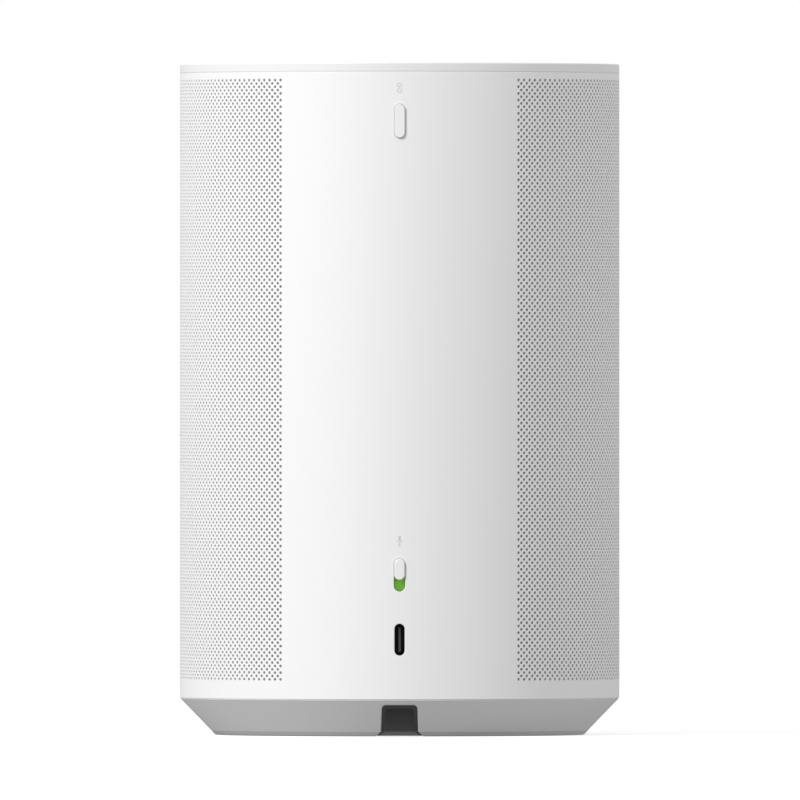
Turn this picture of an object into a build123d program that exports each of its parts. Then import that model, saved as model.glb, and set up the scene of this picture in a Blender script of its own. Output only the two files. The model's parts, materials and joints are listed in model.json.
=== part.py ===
from build123d import *
import os
from math import cos, radians, sin, tan

# A compact mains-powered smart speaker: a tall racetrack-plan body with a perforated
# sleeve, a touch panel on top and a chamfered base. Inside are one woofer facing the
# front, two tweeters turned outwards, a sealed enclosure and the boards behind it.
#
# Frame: millimetres, +Z up, origin on the floor under the middle of the body.
# The grille front faces -Y, and the smooth strip with the sockets faces +Y.

# ---------------------------------------------------------------- driving dimensions
WIDTH = 120.4
DEPTH = 130.9
HEIGHT = 183.6
REAR = DEPTH / 2

# Levels of the shell, from the floor up.
FOOT_TOP = 1.2
SKIRT_TOP = 9.95
SKIRT_GAP = 0.15
CAP_GAP = 0.2
SLEEVE_BOTTOM = SKIRT_TOP + SKIRT_GAP
CAP_THICKNESS = 2.4
CAP_BOTTOM = HEIGHT - CAP_THICKNESS
SLEEVE_TOP = CAP_BOTTOM - CAP_GAP

# The base slopes inwards on its way down to the floor, and the foot goes on at its slope.
SKIRT_INSET = 0.1
SLOPE = 44.0
SLEEVE_WALL = 2.0
SLEEVE_RIM_FILLET = 0.4
SPIGOT_WALL = 2.0
SPIGOT_TOP = 14.4
SCRIM_INSET = SLEEVE_WALL + 0.1
SCRIM_THICKNESS = 0.4
GRILLE_TOP = 179.2

# Rear controls and sockets, all on the middle line of the smooth strip.
BUTTON_Z = 167.6
BUTTON_LENGTH = 9.2
BUTTON_WIDTH = 3.0
BUTTON_TRAVEL = 0.5
CONTROL_PROUD = 0.6
SWITCH_Z = 44.0
SWITCH_SLOT_LENGTH = 9.0
SWITCH_SLOT_WIDTH = 3.1
KNOB_LENGTH = 5.8
KNOB_WIDTH = 2.9
SWITCH_TRAVEL = 3.1
USB_Z = 26.4
USB_LENGTH = 8.7
USB_WIDTH = 2.85
CLEARANCE = 0.15

# Mains inlet, in a well under the base with a cord channel out to the rear.
WELL_Y = 44.0
WELL_LENGTH = 22.0
WELL_WIDTH = 12.0
CUP_WALL = 1.0
CHANNEL_TOP = 8.6
CHANNEL_TOP_WIDTH = 9.7
CHANNEL_FOOT_WIDTH = 10.3
CHANNEL_FLARE = 1.3
PIN_SPACING = 8.6
PIN_RADIUS = 1.2

# Sealed acoustic enclosure.
ENCLOSURE_BOTTOM = 14.6
ENCLOSURE_STEP = 118.0
ENCLOSURE_TOP = 168.0
ENCLOSURE_INSET = 5.0
ENCLOSURE_WALL = 3.0
ENCLOSURE_FRONT = -30.6
ENCLOSURE_UPPER_FRONT = -8.0
ENCLOSURE_REAR = 33.0
BAFFLE_FRONT = -34.0
BAFFLE_THICKNESS = 3.0
SEAL_THICKNESS = 0.4

# Woofer, on an axis along -Y through the baffle's front face.
WOOFER_Z = 66.0
FLANGE_RADIUS = 44.5
BAFFLE_HOLE_RADIUS = 38.5
WOOFER_SCREW_RADIUS = 42.3
WOOFER_SCREWS = 6

# Tweeters, turned outwards from the front.
TWEETER_ANGLE = 40.0
TWEETER_X = 27.0
TWEETER_Y = -38.0
TWEETER_Z = 143.5
HORN_MOUTH = 14.0
HORN_THROAT = 10.8
HORN_DEPTH = 7.0
WAVEGUIDE_BOTTOM = 120.0
WAVEGUIDE_TOP = 167.0
WAVEGUIDE_WALL = 3.0

# Boards in the rear bay, between the enclosure and the smooth strip.
BOARD_THICKNESS = 1.6
BOARD_Y = 44.0
MAIN_BOARD_WIDTH = 72.0
MAIN_BOARD_BOTTOM = 86.0
MAIN_BOARD_TOP = 167.0
POWER_BOARD_BOTTOM = 33.0
POWER_BOARD_TOP = 83.0
REAR_BOARD_Y = 54.4

# Screws: the hole is a little wider than the shank that it holds.
SHANK_RADIUS = 1.4
SCREW_HOLE = 1.45
HEAD_RADIUS = 2.4
HEAD_HEIGHT = 1.5


# ------------------------------------------------------------------------- helpers
def racetrack(inset, mode=Mode.ADD):
    """The plan outline of the speaker, drawn this far inside its outer face."""
    SlotOverall(DEPTH - 2 * inset, WIDTH - 2 * inset, rotation=90, mode=mode)


def slope_inset(z):
    """How far the sloping base is inside the sleeve's outer face at this height."""
    return SKIRT_INSET + (SKIRT_TOP - z) * tan(radians(SLOPE))


def racetrack_between(inset, front, rear):
    """The same outline, cut off flat at a front and a rear plane."""
    racetrack(inset)
    with Locations((0, (front + rear) / 2)):
        Rectangle(WIDTH, rear - front, mode=Mode.INTERSECT)


def capsule(length, width, z, mode=Mode.ADD):
    """An upright capsule on the middle line, for a sketch on a rear plane."""
    with Locations((0, z)):
        SlotOverall(length, width, rotation=90, mode=mode)


def rear_plane(y):
    """A plane facing the front, so that sketch x is X and sketch y is Z."""
    return Plane.XZ.offset(-y)


def make_screw(length, head_radius=HEAD_RADIUS, head_height=HEAD_HEIGHT):
    """A pan-head screw with a six-lobe recess: head above z=0 and shank below it."""
    recess = 0.9
    with BuildPart() as screw:
        Cylinder(head_radius, head_height, align=(Align.CENTER, Align.CENTER, Align.MIN))
        fillet(screw.edges().group_by(Axis.Z)[-1], head_height / 3)
        Cylinder(SHANK_RADIUS, length, align=(Align.CENTER, Align.CENTER, Align.MAX))
        chamfer(screw.edges().group_by(Axis.Z)[0], SHANK_RADIUS / 2)
        with BuildSketch(Plane.XY.offset(head_height)):
            RegularPolygon(recess, 6)
            with PolarLocations(recess * 0.8, 6):
                Circle(recess * 0.35)
        extrude(amount=-head_height * 0.6, mode=Mode.SUBTRACT)
    return screw.part


def outward(angle):
    """A level direction, turned this far from the front (-Y) towards +X."""
    return (sin(radians(angle)), -cos(radians(angle)), 0)


def tweeter_plane(side):
    """The plane of a horn's mouth: z points out of the horn. side is +1 or -1."""
    return Plane(
        origin=(side * TWEETER_X, TWEETER_Y, TWEETER_Z),
        x_dir=(cos(radians(TWEETER_ANGLE)), side * sin(radians(TWEETER_ANGLE)), 0),
        z_dir=outward(side * TWEETER_ANGLE),
    )


finished = []


def keep(part, label):
    """Labels a finished piece and puts it on the list to be written."""
    part.label = label
    finished.append(part)


# ============================================================= shell and grille
# The sleeve is one moulding: it carries the grille all round and the smooth strip at
# the rear. Its thousands of 0.8 mm holes are left out of the solid.
IO_BOARD_BOSSES = [(x, z) for x in (-8.0, 8.0) for z in (20.5, 59.5)]
BUTTON_BOARD_BOSSES = [(-7.0, 160.5), (7.0, 160.5)]
SLEEVE_BOSSES = IO_BOARD_BOSSES + BUTTON_BOARD_BOSSES
SLEEVE_BOSS_RADIUS = 2.6
SLEEVE_BOSS_HOLE = 8.0
SLOT_CUT = 2 * SLEEVE_WALL + 4.0
SCRIM_OPENING = (56.0, 50.0)

with BuildPart() as outer_sleeve:
    with BuildSketch(Plane.XY.offset(SLEEVE_BOTTOM)):
        racetrack(0)
    extrude(amount=SLEEVE_TOP - SLEEVE_BOTTOM)
    rims = outer_sleeve.faces().filter_by(GeomType.PLANE).filter_by(Axis.Z).edges()
    fillet(rims, SLEEVE_RIM_FILLET)
    with BuildSketch(Plane.XY.offset(SLEEVE_BOTTOM)):
        racetrack(SLEEVE_WALL)
    extrude(amount=SLEEVE_TOP - SLEEVE_BOTTOM, mode=Mode.SUBTRACT)
    with BuildSketch(rear_plane(REAR_BOARD_Y + BOARD_THICKNESS)):
        with Locations(*SLEEVE_BOSSES):
            Circle(SLEEVE_BOSS_RADIUS)
    extrude(amount=-(REAR - 1.4 - REAR_BOARD_Y - BOARD_THICKNESS))
    with BuildSketch(rear_plane(REAR_BOARD_Y)):
        with Locations(*SLEEVE_BOSSES):
            Circle(SCREW_HOLE)
    extrude(amount=-SLEEVE_BOSS_HOLE, mode=Mode.SUBTRACT)
    with BuildSketch(rear_plane(REAR - 2 * SLEEVE_WALL)):
        capsule(BUTTON_LENGTH + 2 * CLEARANCE, BUTTON_WIDTH + 2 * CLEARANCE, BUTTON_Z)
        capsule(SWITCH_SLOT_LENGTH, SWITCH_SLOT_WIDTH, SWITCH_Z)
        capsule(USB_LENGTH, USB_WIDTH, USB_Z)
    extrude(amount=-SLOT_CUT, mode=Mode.SUBTRACT)
keep(outer_sleeve.part, "outer_sleeve")

# A thin cloth lines the grille and stops short of the smooth strip.
with BuildPart() as acoustic_scrim:
    with BuildSketch(Plane.XY.offset(SPIGOT_TOP + 0.2)):
        racetrack(SCRIM_INSET)
        racetrack(SCRIM_INSET + SCRIM_THICKNESS, mode=Mode.SUBTRACT)
        with Locations((0, REAR)):
            Rectangle(*SCRIM_OPENING, mode=Mode.SUBTRACT)
    extrude(amount=GRILLE_TOP - SPIGOT_TOP - 0.2)
keep(acoustic_scrim.part, "acoustic_scrim")

# ================================================================ top touch panel
CAP_EDGE = 0.8
CAP_FOOT_EDGE = 0.3
CAP_LIP_INSET = SLEEVE_WALL + 0.3
CAP_LIP_WALL = 1.6
CAP_LIP_DEPTH = 1.7
TROUGH_Y = -31.0
TROUGH_LENGTH = 44.0
TROUGH_DEPTH = 1.2
TROUGH_CURVE = 11.0
MIC_SPOTS = [(x, y) for x in (-34.0, 34.0) for y in (-30.0, 30.0)]
MIC_HOLE = 0.5
LIGHT_SPOTS = [(0, -47.0), (0, 45.0)]
LIGHT_RADIUS = 0.7

with BuildPart() as top_cap:
    with BuildSketch(Plane.XY.offset(CAP_BOTTOM)):
        racetrack(0)
    extrude(amount=CAP_THICKNESS)
    fillet(top_cap.faces().sort_by(Axis.Z)[-1].edges(), CAP_EDGE)
    fillet(top_cap.faces().sort_by(Axis.Z)[0].edges(), CAP_FOOT_EDGE)
    with BuildSketch(Plane.XY.offset(CAP_BOTTOM)):
        racetrack(CAP_LIP_INSET)
        racetrack(CAP_LIP_INSET + CAP_LIP_WALL, mode=Mode.SUBTRACT)
    extrude(amount=-CAP_LIP_DEPTH)
    # The volume slider is a shallow rounded groove: a bar with ball ends is sunk in.
    groove_half = (TROUGH_CURVE**2 - (TROUGH_CURVE - TROUGH_DEPTH) ** 2) ** 0.5
    bar_half = TROUGH_LENGTH / 2 - groove_half
    bar_z = HEIGHT - TROUGH_DEPTH + TROUGH_CURVE
    with Locations((0, TROUGH_Y, bar_z)):
        Cylinder(TROUGH_CURVE, 2 * bar_half, rotation=(0, 90, 0), mode=Mode.SUBTRACT)
    with Locations((-bar_half, TROUGH_Y, bar_z), (bar_half, TROUGH_Y, bar_z)):
        Sphere(TROUGH_CURVE, mode=Mode.SUBTRACT)
    with BuildSketch(Plane.XY.offset(CAP_BOTTOM - 1)):
        with Locations(*MIC_SPOTS):
            Circle(MIC_HOLE)
        with Locations(*LIGHT_SPOTS):
            Circle(LIGHT_RADIUS + 0.05)
    extrude(amount=CAP_THICKNESS + 2, mode=Mode.SUBTRACT)
keep(top_cap.part, "top_cap")

FRAME_BOTTOM = 173.0
FRAME_PLATE = 2.0
FRAME_INSET = 4.0
FRAME_WALL = 1.6
FRAME_POSTS = [(-20, -35), (20, -35), (-20, 35), (20, 35), (0, 0)]
TOUCH_BOARD_BOTTOM = 178.8
TOUCH_BOARD_THICKNESS = 1.2
TOP_SCREW_SPOTS = [(x, y) for x in (-36.0, 36.0) for y in (0.0, 26.0)]
FLEX_Y = 50.5
FLEX_WIDTH = 12.0

with BuildPart() as top_frame:
    with BuildSketch(Plane.XY.offset(FRAME_BOTTOM)):
        racetrack(FRAME_INSET)
    extrude(amount=FRAME_PLATE)
    with BuildSketch(Plane.XY.offset(FRAME_BOTTOM + FRAME_PLATE)):
        racetrack(FRAME_INSET)
        racetrack(FRAME_INSET + FRAME_WALL, mode=Mode.SUBTRACT)
        with Locations(*FRAME_POSTS):
            Circle(2.5)
    extrude(amount=TOUCH_BOARD_BOTTOM - FRAME_BOTTOM - FRAME_PLATE)
    with BuildSketch(Plane.XY.offset(ENCLOSURE_TOP)):
        with Locations(*TOP_SCREW_SPOTS):
            Circle(4.0)
    extrude(amount=FRAME_BOTTOM - ENCLOSURE_TOP)
    with BuildSketch(Plane.XY.offset(ENCLOSURE_TOP)):
        with Locations(*TOP_SCREW_SPOTS):
            Circle(SCREW_HOLE)
    extrude(amount=10, mode=Mode.SUBTRACT)
    with BuildSketch(Plane.XY.offset(FRAME_BOTTOM)):
        with Locations((0, FLEX_Y)):
            Rectangle(FLEX_WIDTH + 2, 3)
    extrude(amount=FRAME_PLATE, mode=Mode.SUBTRACT)
    with BuildSketch(Plane.XY.offset(FRAME_BOTTOM)):
        with GridLocations(24, 22, 2, 2):
            RectangleRounded(18, 14, 3)
    extrude(amount=FRAME_PLATE, mode=Mode.SUBTRACT)
keep(top_frame.part, "top_frame")

with BuildPart() as touch_board:
    with BuildSketch(Plane.XY.offset(TOUCH_BOARD_BOTTOM)):
        racetrack(6.0)
        with Locations(*MIC_SPOTS):
            Circle(MIC_HOLE, mode=Mode.SUBTRACT)
    extrude(amount=TOUCH_BOARD_THICKNESS)
keep(touch_board.part, "touch_board")

with BuildPart() as mic_gaskets:
    with BuildSketch(Plane.XY.offset(TOUCH_BOARD_BOTTOM + TOUCH_BOARD_THICKNESS)):
        with Locations(*MIC_SPOTS):
            Circle(2.2)
        with Locations(*MIC_SPOTS):
            Circle(0.7, mode=Mode.SUBTRACT)
    extrude(amount=CAP_BOTTOM - TOUCH_BOARD_BOTTOM - TOUCH_BOARD_THICKNESS)
keep(mic_gaskets.part, "mic_gaskets")

with BuildPart() as light_pipes:
    with BuildSketch(Plane.XY.offset(TOUCH_BOARD_BOTTOM + TOUCH_BOARD_THICKNESS + 0.2)):
        with Locations(*LIGHT_SPOTS):
            Circle(LIGHT_RADIUS)
    extrude(amount=HEIGHT - TOUCH_BOARD_BOTTOM - TOUCH_BOARD_THICKNESS - 0.25)
    with BuildSketch(Plane.XY.offset(TOUCH_BOARD_BOTTOM + TOUCH_BOARD_THICKNESS + 0.2)):
        with Locations(*LIGHT_SPOTS):
            Circle(1.6)
    extrude(amount=0.8)
keep(light_pipes.part, "light_pipes")

with BuildPart() as top_screws:
    with Locations(*[(x, y, FRAME_BOTTOM + FRAME_PLATE) for x, y in TOP_SCREW_SPOTS]):
        add(make_screw(14))
keep(top_screws.part, "top_screws")

# ====================================================================== base
BASE_SCREW_SPOTS = [(x, y) for x in (-36.0, 36.0) for y in (-20.0, 20.0)]
BASE_FLOOR = 2.0
SPIGOT_INSET = SLEEVE_WALL + 0.4
FOOT_EDGE = 0.8
INSERT_TOP = 12.5
INSERT_RADIUS = 4.0
THREAD_RADIUS = 2.55
THREAD_LENGTH = 9.0


def channel_outline(grow):
    """The cord channel seen from behind, grown by this much, with a flared foot."""
    top = CHANNEL_TOP_WIDTH / 2 + grow
    foot = CHANNEL_FOOT_WIDTH / 2 + grow
    below = -1.0
    with BuildLine(Plane.XY) as outline:
        Polyline(
            (-foot - CHANNEL_FLARE, below),
            (-foot - CHANNEL_FLARE, 0),
            (-foot, CHANNEL_FLARE),
            (-top, CHANNEL_TOP + grow),
            (top, CHANNEL_TOP + grow),
            (foot, CHANNEL_FLARE),
            (foot + CHANNEL_FLARE, 0),
            (foot + CHANNEL_FLARE, below),
            close=True,
        )
    make_face(outline.edges())


def round_channel_corners(sketch):
    """Rounds the two top corners and the waist of the flare."""
    fillet(sketch.vertices().group_by(Axis.Y)[-1], 1.0)
    waist = sketch.vertices().filter_by(lambda vertex: abs(vertex.Y - CHANNEL_FLARE) < 0.1)
    fillet(waist, 1.2)


with BuildPart() as base_skirt:
    with BuildSketch(Plane.XY.offset(SKIRT_TOP)):
        racetrack(SKIRT_INSET)
    extrude(amount=-(SKIRT_TOP - FOOT_TOP), taper=SLOPE)
    with BuildSketch(Plane.XY.offset(SKIRT_TOP)):
        racetrack(SPIGOT_INSET)
    extrude(amount=SPIGOT_TOP - SKIRT_TOP)
    spigot_inside = SPIGOT_INSET + SPIGOT_WALL
    with BuildSketch(Plane.XY.offset(SKIRT_TOP)):
        racetrack(spigot_inside)
    extrude(amount=SPIGOT_TOP - SKIRT_TOP, mode=Mode.SUBTRACT)
    with BuildSketch(Plane.XY.offset(SKIRT_TOP)):
        racetrack(spigot_inside)
    extrude(amount=-(SKIRT_TOP - FOOT_TOP - BASE_FLOOR), taper=SLOPE, mode=Mode.SUBTRACT)
    # Bosses: four for the screws up into the enclosure, and one for the stand insert.
    with BuildSketch(Plane.XY.offset(FOOT_TOP + BASE_FLOOR)):
        with Locations(*BASE_SCREW_SPOTS):
            Circle(4.2)
        Circle(INSERT_RADIUS + 2.5)
    extrude(amount=ENCLOSURE_BOTTOM - 0.2 - FOOT_TOP - BASE_FLOOR)
    with BuildSketch(Plane.XY.offset(FOOT_TOP)):
        with Locations(*BASE_SCREW_SPOTS):
            Circle(SCREW_HOLE)
    extrude(amount=ENCLOSURE_BOTTOM, mode=Mode.SUBTRACT)
    with BuildSketch(Plane.XY.offset(FOOT_TOP)):
        with Locations(*BASE_SCREW_SPOTS):
            Circle(HEAD_RADIUS + 0.3)
        Circle(INSERT_RADIUS)
    extrude(amount=HEAD_HEIGHT + 0.3, mode=Mode.SUBTRACT)
    with BuildSketch(Plane.XY.offset(FOOT_TOP)):
        Circle(INSERT_RADIUS)
    extrude(amount=INSERT_TOP - FOOT_TOP, mode=Mode.SUBTRACT)
    # The well for the plug goes through the floor, and the cord channel out behind.
    with BuildSketch(Plane.XY.offset(FOOT_TOP)):
        with Locations((0, WELL_Y)):
            RectangleRounded(WELL_LENGTH + 0.2, WELL_WIDTH + 0.2, 2.1)
    extrude(amount=SPIGOT_TOP, mode=Mode.SUBTRACT)
    with BuildSketch(rear_plane(WELL_Y)) as channel_cut:
        channel_outline(0)
        round_channel_corners(channel_cut)
    extrude(amount=-(REAR - WELL_Y + 1), mode=Mode.SUBTRACT)
keep(base_skirt.part, "base_skirt")

with BuildPart() as foot_pad:
    with BuildSketch(Plane.XY.offset(FOOT_TOP)):
        racetrack(slope_inset(FOOT_TOP))
    extrude(amount=-FOOT_TOP, taper=SLOPE)
    fillet(foot_pad.faces().sort_by(Axis.Z)[0].edges(), FOOT_EDGE)
    with BuildSketch(Plane.XY):
        with Locations((0, WELL_Y)):
            RectangleRounded(WELL_LENGTH + 1, WELL_WIDTH + 1, 2.5)
        Circle(INSERT_RADIUS + 0.5)
    extrude(amount=FOOT_TOP, mode=Mode.SUBTRACT)
    with BuildSketch(rear_plane(WELL_Y)) as foot_channel_cut:
        channel_outline(0)
        round_channel_corners(foot_channel_cut)
    extrude(amount=-(REAR - WELL_Y + 1), mode=Mode.SUBTRACT)
keep(foot_pad.part, "foot_pad")

with BuildPart() as stand_insert:
    with BuildSketch(Plane.XY.offset(FOOT_TOP + 0.2)):
        Circle(INSERT_RADIUS - 0.03)
        Circle(THREAD_RADIUS, mode=Mode.SUBTRACT)
    extrude(amount=THREAD_LENGTH)
    with BuildSketch(Plane.XY.offset(FOOT_TOP + 0.2 + THREAD_LENGTH)):
        Circle(INSERT_RADIUS - 0.03)
    extrude(amount=INSERT_TOP - FOOT_TOP - 0.2 - THREAD_LENGTH - 0.05)
keep(stand_insert.part, "stand_insert")

# The cup lines the well and the cord channel, and its roof carries the mains inlet.
CUP_TOP = 14.0
INLET_HOLE_RADIUS = 4.1
INLET_WAIST = 5.6


def figure_eight(grow, mode=Mode.ADD):
    """The outline of a two-pin appliance inlet, grown by this much."""
    with Locations((-PIN_SPACING / 2, WELL_Y), (PIN_SPACING / 2, WELL_Y)):
        Circle(INLET_HOLE_RADIUS + grow, mode=mode)
    with Locations((0, WELL_Y)):
        Rectangle(PIN_SPACING, INLET_WAIST + 2 * grow, mode=mode)


# The liner stops just inside the slope of the base, and level with the foot.
with BuildPart() as liner_room:
    with BuildSketch(Plane.XY.offset(SKIRT_TOP)):
        racetrack(SKIRT_INSET + 0.5)
    extrude(amount=-SKIRT_TOP + 0.25, taper=SLOPE)
    with BuildSketch(Plane.XY.offset(SKIRT_TOP)):
        racetrack(SKIRT_INSET + 0.5)
    extrude(amount=CUP_TOP)

with BuildPart() as inlet_cup:
    with BuildSketch(Plane.XY.offset(FOOT_TOP)):
        with Locations((0, WELL_Y)):
            RectangleRounded(WELL_LENGTH, WELL_WIDTH, 2)
    extrude(amount=CUP_TOP - FOOT_TOP)
    with BuildSketch(rear_plane(WELL_Y)) as liner:
        channel_outline(-0.02)
        round_channel_corners(liner)
    extrude(amount=-(REAR - WELL_Y))
    add(liner_room.part, mode=Mode.INTERSECT)
    with BuildSketch(Plane.XY):
        with Locations((0, WELL_Y)):
            RectangleRounded(WELL_LENGTH - 2 * CUP_WALL, WELL_WIDTH - 2 * CUP_WALL, 1.2)
    extrude(amount=CUP_TOP - CUP_WALL, mode=Mode.SUBTRACT)
    with BuildSketch(rear_plane(WELL_Y)) as bore:
        channel_outline(-CUP_WALL)
        round_channel_corners(bore)
    extrude(amount=-(REAR - WELL_Y + 1), mode=Mode.SUBTRACT)
    with BuildSketch(Plane.XY.offset(CUP_TOP - CUP_WALL)):
        figure_eight(0)
    extrude(amount=CUP_WALL, mode=Mode.SUBTRACT)
keep(inlet_cup.part, "inlet_cup")

INLET_TOP = 30.0
INLET_FLOOR = 26.0
PIN_END = 16.5

with BuildPart() as power_inlet:
    with BuildSketch(Plane.XY.offset(CUP_TOP)):
        with Locations((0, WELL_Y)):
            RectangleRounded(20, 11, 2)
    extrude(amount=INLET_TOP - CUP_TOP)
    fillet(power_inlet.edges().group_by(Axis.Z)[-1], 0.8)
    with BuildSketch(Plane.XY.offset(CUP_TOP)):
        figure_eight(0)
    extrude(amount=INLET_FLOOR - CUP_TOP, mode=Mode.SUBTRACT)
    with BuildSketch(Plane.XY.offset(INLET_FLOOR)):
        with Locations((-PIN_SPACING / 2, WELL_Y), (PIN_SPACING / 2, WELL_Y)):
            Circle(PIN_RADIUS)
    extrude(amount=2.5, mode=Mode.SUBTRACT)
keep(power_inlet.part, "power_inlet")

with BuildPart() as inlet_pins:
    with BuildSketch(Plane.XY.offset(PIN_END)):
        with Locations((-PIN_SPACING / 2, WELL_Y), (PIN_SPACING / 2, WELL_Y)):
            Circle(PIN_RADIUS)
    extrude(amount=INLET_FLOOR + 2.45 - PIN_END)
    fillet(inlet_pins.edges().group_by(Axis.Z)[0], 0.8)
keep(inlet_pins.part, "inlet_pins")

with BuildPart() as base_screws:
    upside_down = [
        Location((x, y, FOOT_TOP + HEAD_HEIGHT + 0.2), (180, 0, 0)) for x, y in BASE_SCREW_SPOTS
    ]
    with Locations(*upside_down):
        add(make_screw(15))
keep(base_screws.part, "base_screws")

# ============================================================ acoustic enclosure
BAFFLE_SCREW_SPOTS = [(x, z) for x in (-40.0, 40.0) for z in (20.5, 112.0)]
BOARD_SCREW_SPOTS = [(x, z) for x in (-32.0, 32.0) for z in (36.5, 79.5, 90.0, 163.0)]
WAVEGUIDE_SCREW_SPOTS = [(x, z) for x in (-38.0, 38.0) for z in (127.0, 160.0)]

with BuildPart() as enclosure_body:
    with BuildSketch(Plane.XY.offset(ENCLOSURE_BOTTOM)):
        racetrack_between(ENCLOSURE_INSET, ENCLOSURE_FRONT, ENCLOSURE_REAR)
    extrude(amount=ENCLOSURE_STEP - ENCLOSURE_BOTTOM)
    with BuildSketch(Plane.XY.offset(ENCLOSURE_STEP)):
        racetrack_between(ENCLOSURE_INSET, ENCLOSURE_UPPER_FRONT, ENCLOSURE_REAR)
    extrude(amount=ENCLOSURE_TOP - ENCLOSURE_STEP)
    wall_inset = ENCLOSURE_INSET + ENCLOSURE_WALL
    wall_rear = ENCLOSURE_REAR - ENCLOSURE_WALL
    with BuildSketch(Plane.XY.offset(ENCLOSURE_BOTTOM + ENCLOSURE_WALL)):
        racetrack_between(wall_inset, ENCLOSURE_FRONT - 5, wall_rear)
    extrude(amount=ENCLOSURE_STEP - ENCLOSURE_BOTTOM - 2 * ENCLOSURE_WALL, mode=Mode.SUBTRACT)
    with BuildSketch(Plane.XY.offset(ENCLOSURE_STEP - ENCLOSURE_WALL)):
        racetrack_between(wall_inset, ENCLOSURE_UPPER_FRONT + ENCLOSURE_WALL, wall_rear)
    extrude(amount=ENCLOSURE_TOP - ENCLOSURE_STEP, mode=Mode.SUBTRACT)
    # Bosses for the baffle in front, the boards behind and the top frame above.
    with BuildSketch(rear_plane(ENCLOSURE_FRONT)):
        with Locations(*BAFFLE_SCREW_SPOTS):
            Circle(3.6)
    extrude(amount=-14)
    with BuildSketch(rear_plane(BOARD_Y)):
        with Locations(*BOARD_SCREW_SPOTS):
            Circle(3.0)
    extrude(amount=BOARD_Y - ENCLOSURE_REAR + 1)
    with BuildSketch(Plane.XY.offset(ENCLOSURE_TOP - 12)):
        with Locations(*TOP_SCREW_SPOTS):
            Circle(3.6)
    extrude(amount=12)
    with BuildSketch(Plane.XY.offset(ENCLOSURE_BOTTOM)):
        with Locations(*BASE_SCREW_SPOTS):
            Circle(3.6)
    extrude(amount=6)
    with BuildSketch(rear_plane(ENCLOSURE_UPPER_FRONT)):
        with Locations(*WAVEGUIDE_SCREW_SPOTS):
            Circle(3.2)
    extrude(amount=-8)
    # Screw holes into every boss.
    with BuildSketch(rear_plane(ENCLOSURE_FRONT)):
        with Locations(*BAFFLE_SCREW_SPOTS):
            Circle(SCREW_HOLE)
    extrude(amount=-11, mode=Mode.SUBTRACT)
    with BuildSketch(rear_plane(BOARD_Y)):
        with Locations(*BOARD_SCREW_SPOTS):
            Circle(SCREW_HOLE)
    extrude(amount=9, mode=Mode.SUBTRACT)
    with BuildSketch(Plane.XY.offset(ENCLOSURE_TOP)):
        with Locations(*TOP_SCREW_SPOTS):
            Circle(SCREW_HOLE)
    extrude(amount=-9, mode=Mode.SUBTRACT)
    with BuildSketch(Plane.XY.offset(ENCLOSURE_BOTTOM)):
        with Locations(*BASE_SCREW_SPOTS):
            Circle(SCREW_HOLE)
    extrude(amount=4.5, mode=Mode.SUBTRACT)
    with BuildSketch(rear_plane(ENCLOSURE_UPPER_FRONT)):
        with Locations(*WAVEGUIDE_SCREW_SPOTS):
            Circle(SCREW_HOLE)
    extrude(amount=-6.5, mode=Mode.SUBTRACT)
keep(enclosure_body.part, "enclosure_body")

WOOFER_BOSS_SPOTS = [
    (
        WOOFER_SCREW_RADIUS * cos(radians(30 + 60 * n)),
        WOOFER_Z + WOOFER_SCREW_RADIUS * sin(radians(30 + 60 * n)),
    )
    for n in range(WOOFER_SCREWS)
]
BAFFLE_BACK = BAFFLE_FRONT + BAFFLE_THICKNESS

with BuildPart() as front_baffle:
    with BuildSketch(Plane.XY.offset(ENCLOSURE_BOTTOM)):
        racetrack_between(ENCLOSURE_INSET, BAFFLE_FRONT, BAFFLE_BACK)
    extrude(amount=ENCLOSURE_STEP - ENCLOSURE_BOTTOM)
    with BuildSketch(rear_plane(BAFFLE_BACK)):
        with Locations(*WOOFER_BOSS_SPOTS):
            Circle(3.4)
    extrude(amount=-6)
    with BuildSketch(rear_plane(BAFFLE_FRONT - 1)):
        with Locations((0, WOOFER_Z)):
            Circle(BAFFLE_HOLE_RADIUS)
        with Locations(*BAFFLE_SCREW_SPOTS):
            Circle(SCREW_HOLE)
        with Locations(*WOOFER_BOSS_SPOTS):
            Circle(SCREW_HOLE)
    extrude(amount=-12, mode=Mode.SUBTRACT)
keep(front_baffle.part, "front_baffle")

with BuildPart() as baffle_seal:
    seal_height = ENCLOSURE_STEP - ENCLOSURE_BOTTOM
    with BuildSketch(rear_plane(BAFFLE_BACK)):
        with Locations((0, ENCLOSURE_BOTTOM + seal_height / 2)):
            Rectangle(96.4, seal_height)
            Rectangle(90.6, seal_height - 2 * ENCLOSURE_WALL, mode=Mode.SUBTRACT)
    extrude(amount=-SEAL_THICKNESS)
keep(baffle_seal.part, "baffle_seal")

with BuildPart() as baffle_screws:
    heads_forward = [
        Location((x, BAFFLE_FRONT, z), (90, 0, 0)) for x, z in BAFFLE_SCREW_SPOTS
    ]
    with Locations(*heads_forward):
        add(make_screw(12))
keep(baffle_screws.part, "baffle_screws")

with BuildPart() as damping_foam:
    with Locations((0, wall_rear - 5.2, 90)):
        Box(64, 10, 120)
    fillet(damping_foam.edges().filter_by(Axis.Z), 3)
keep(damping_foam.part, "damping_foam")

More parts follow.
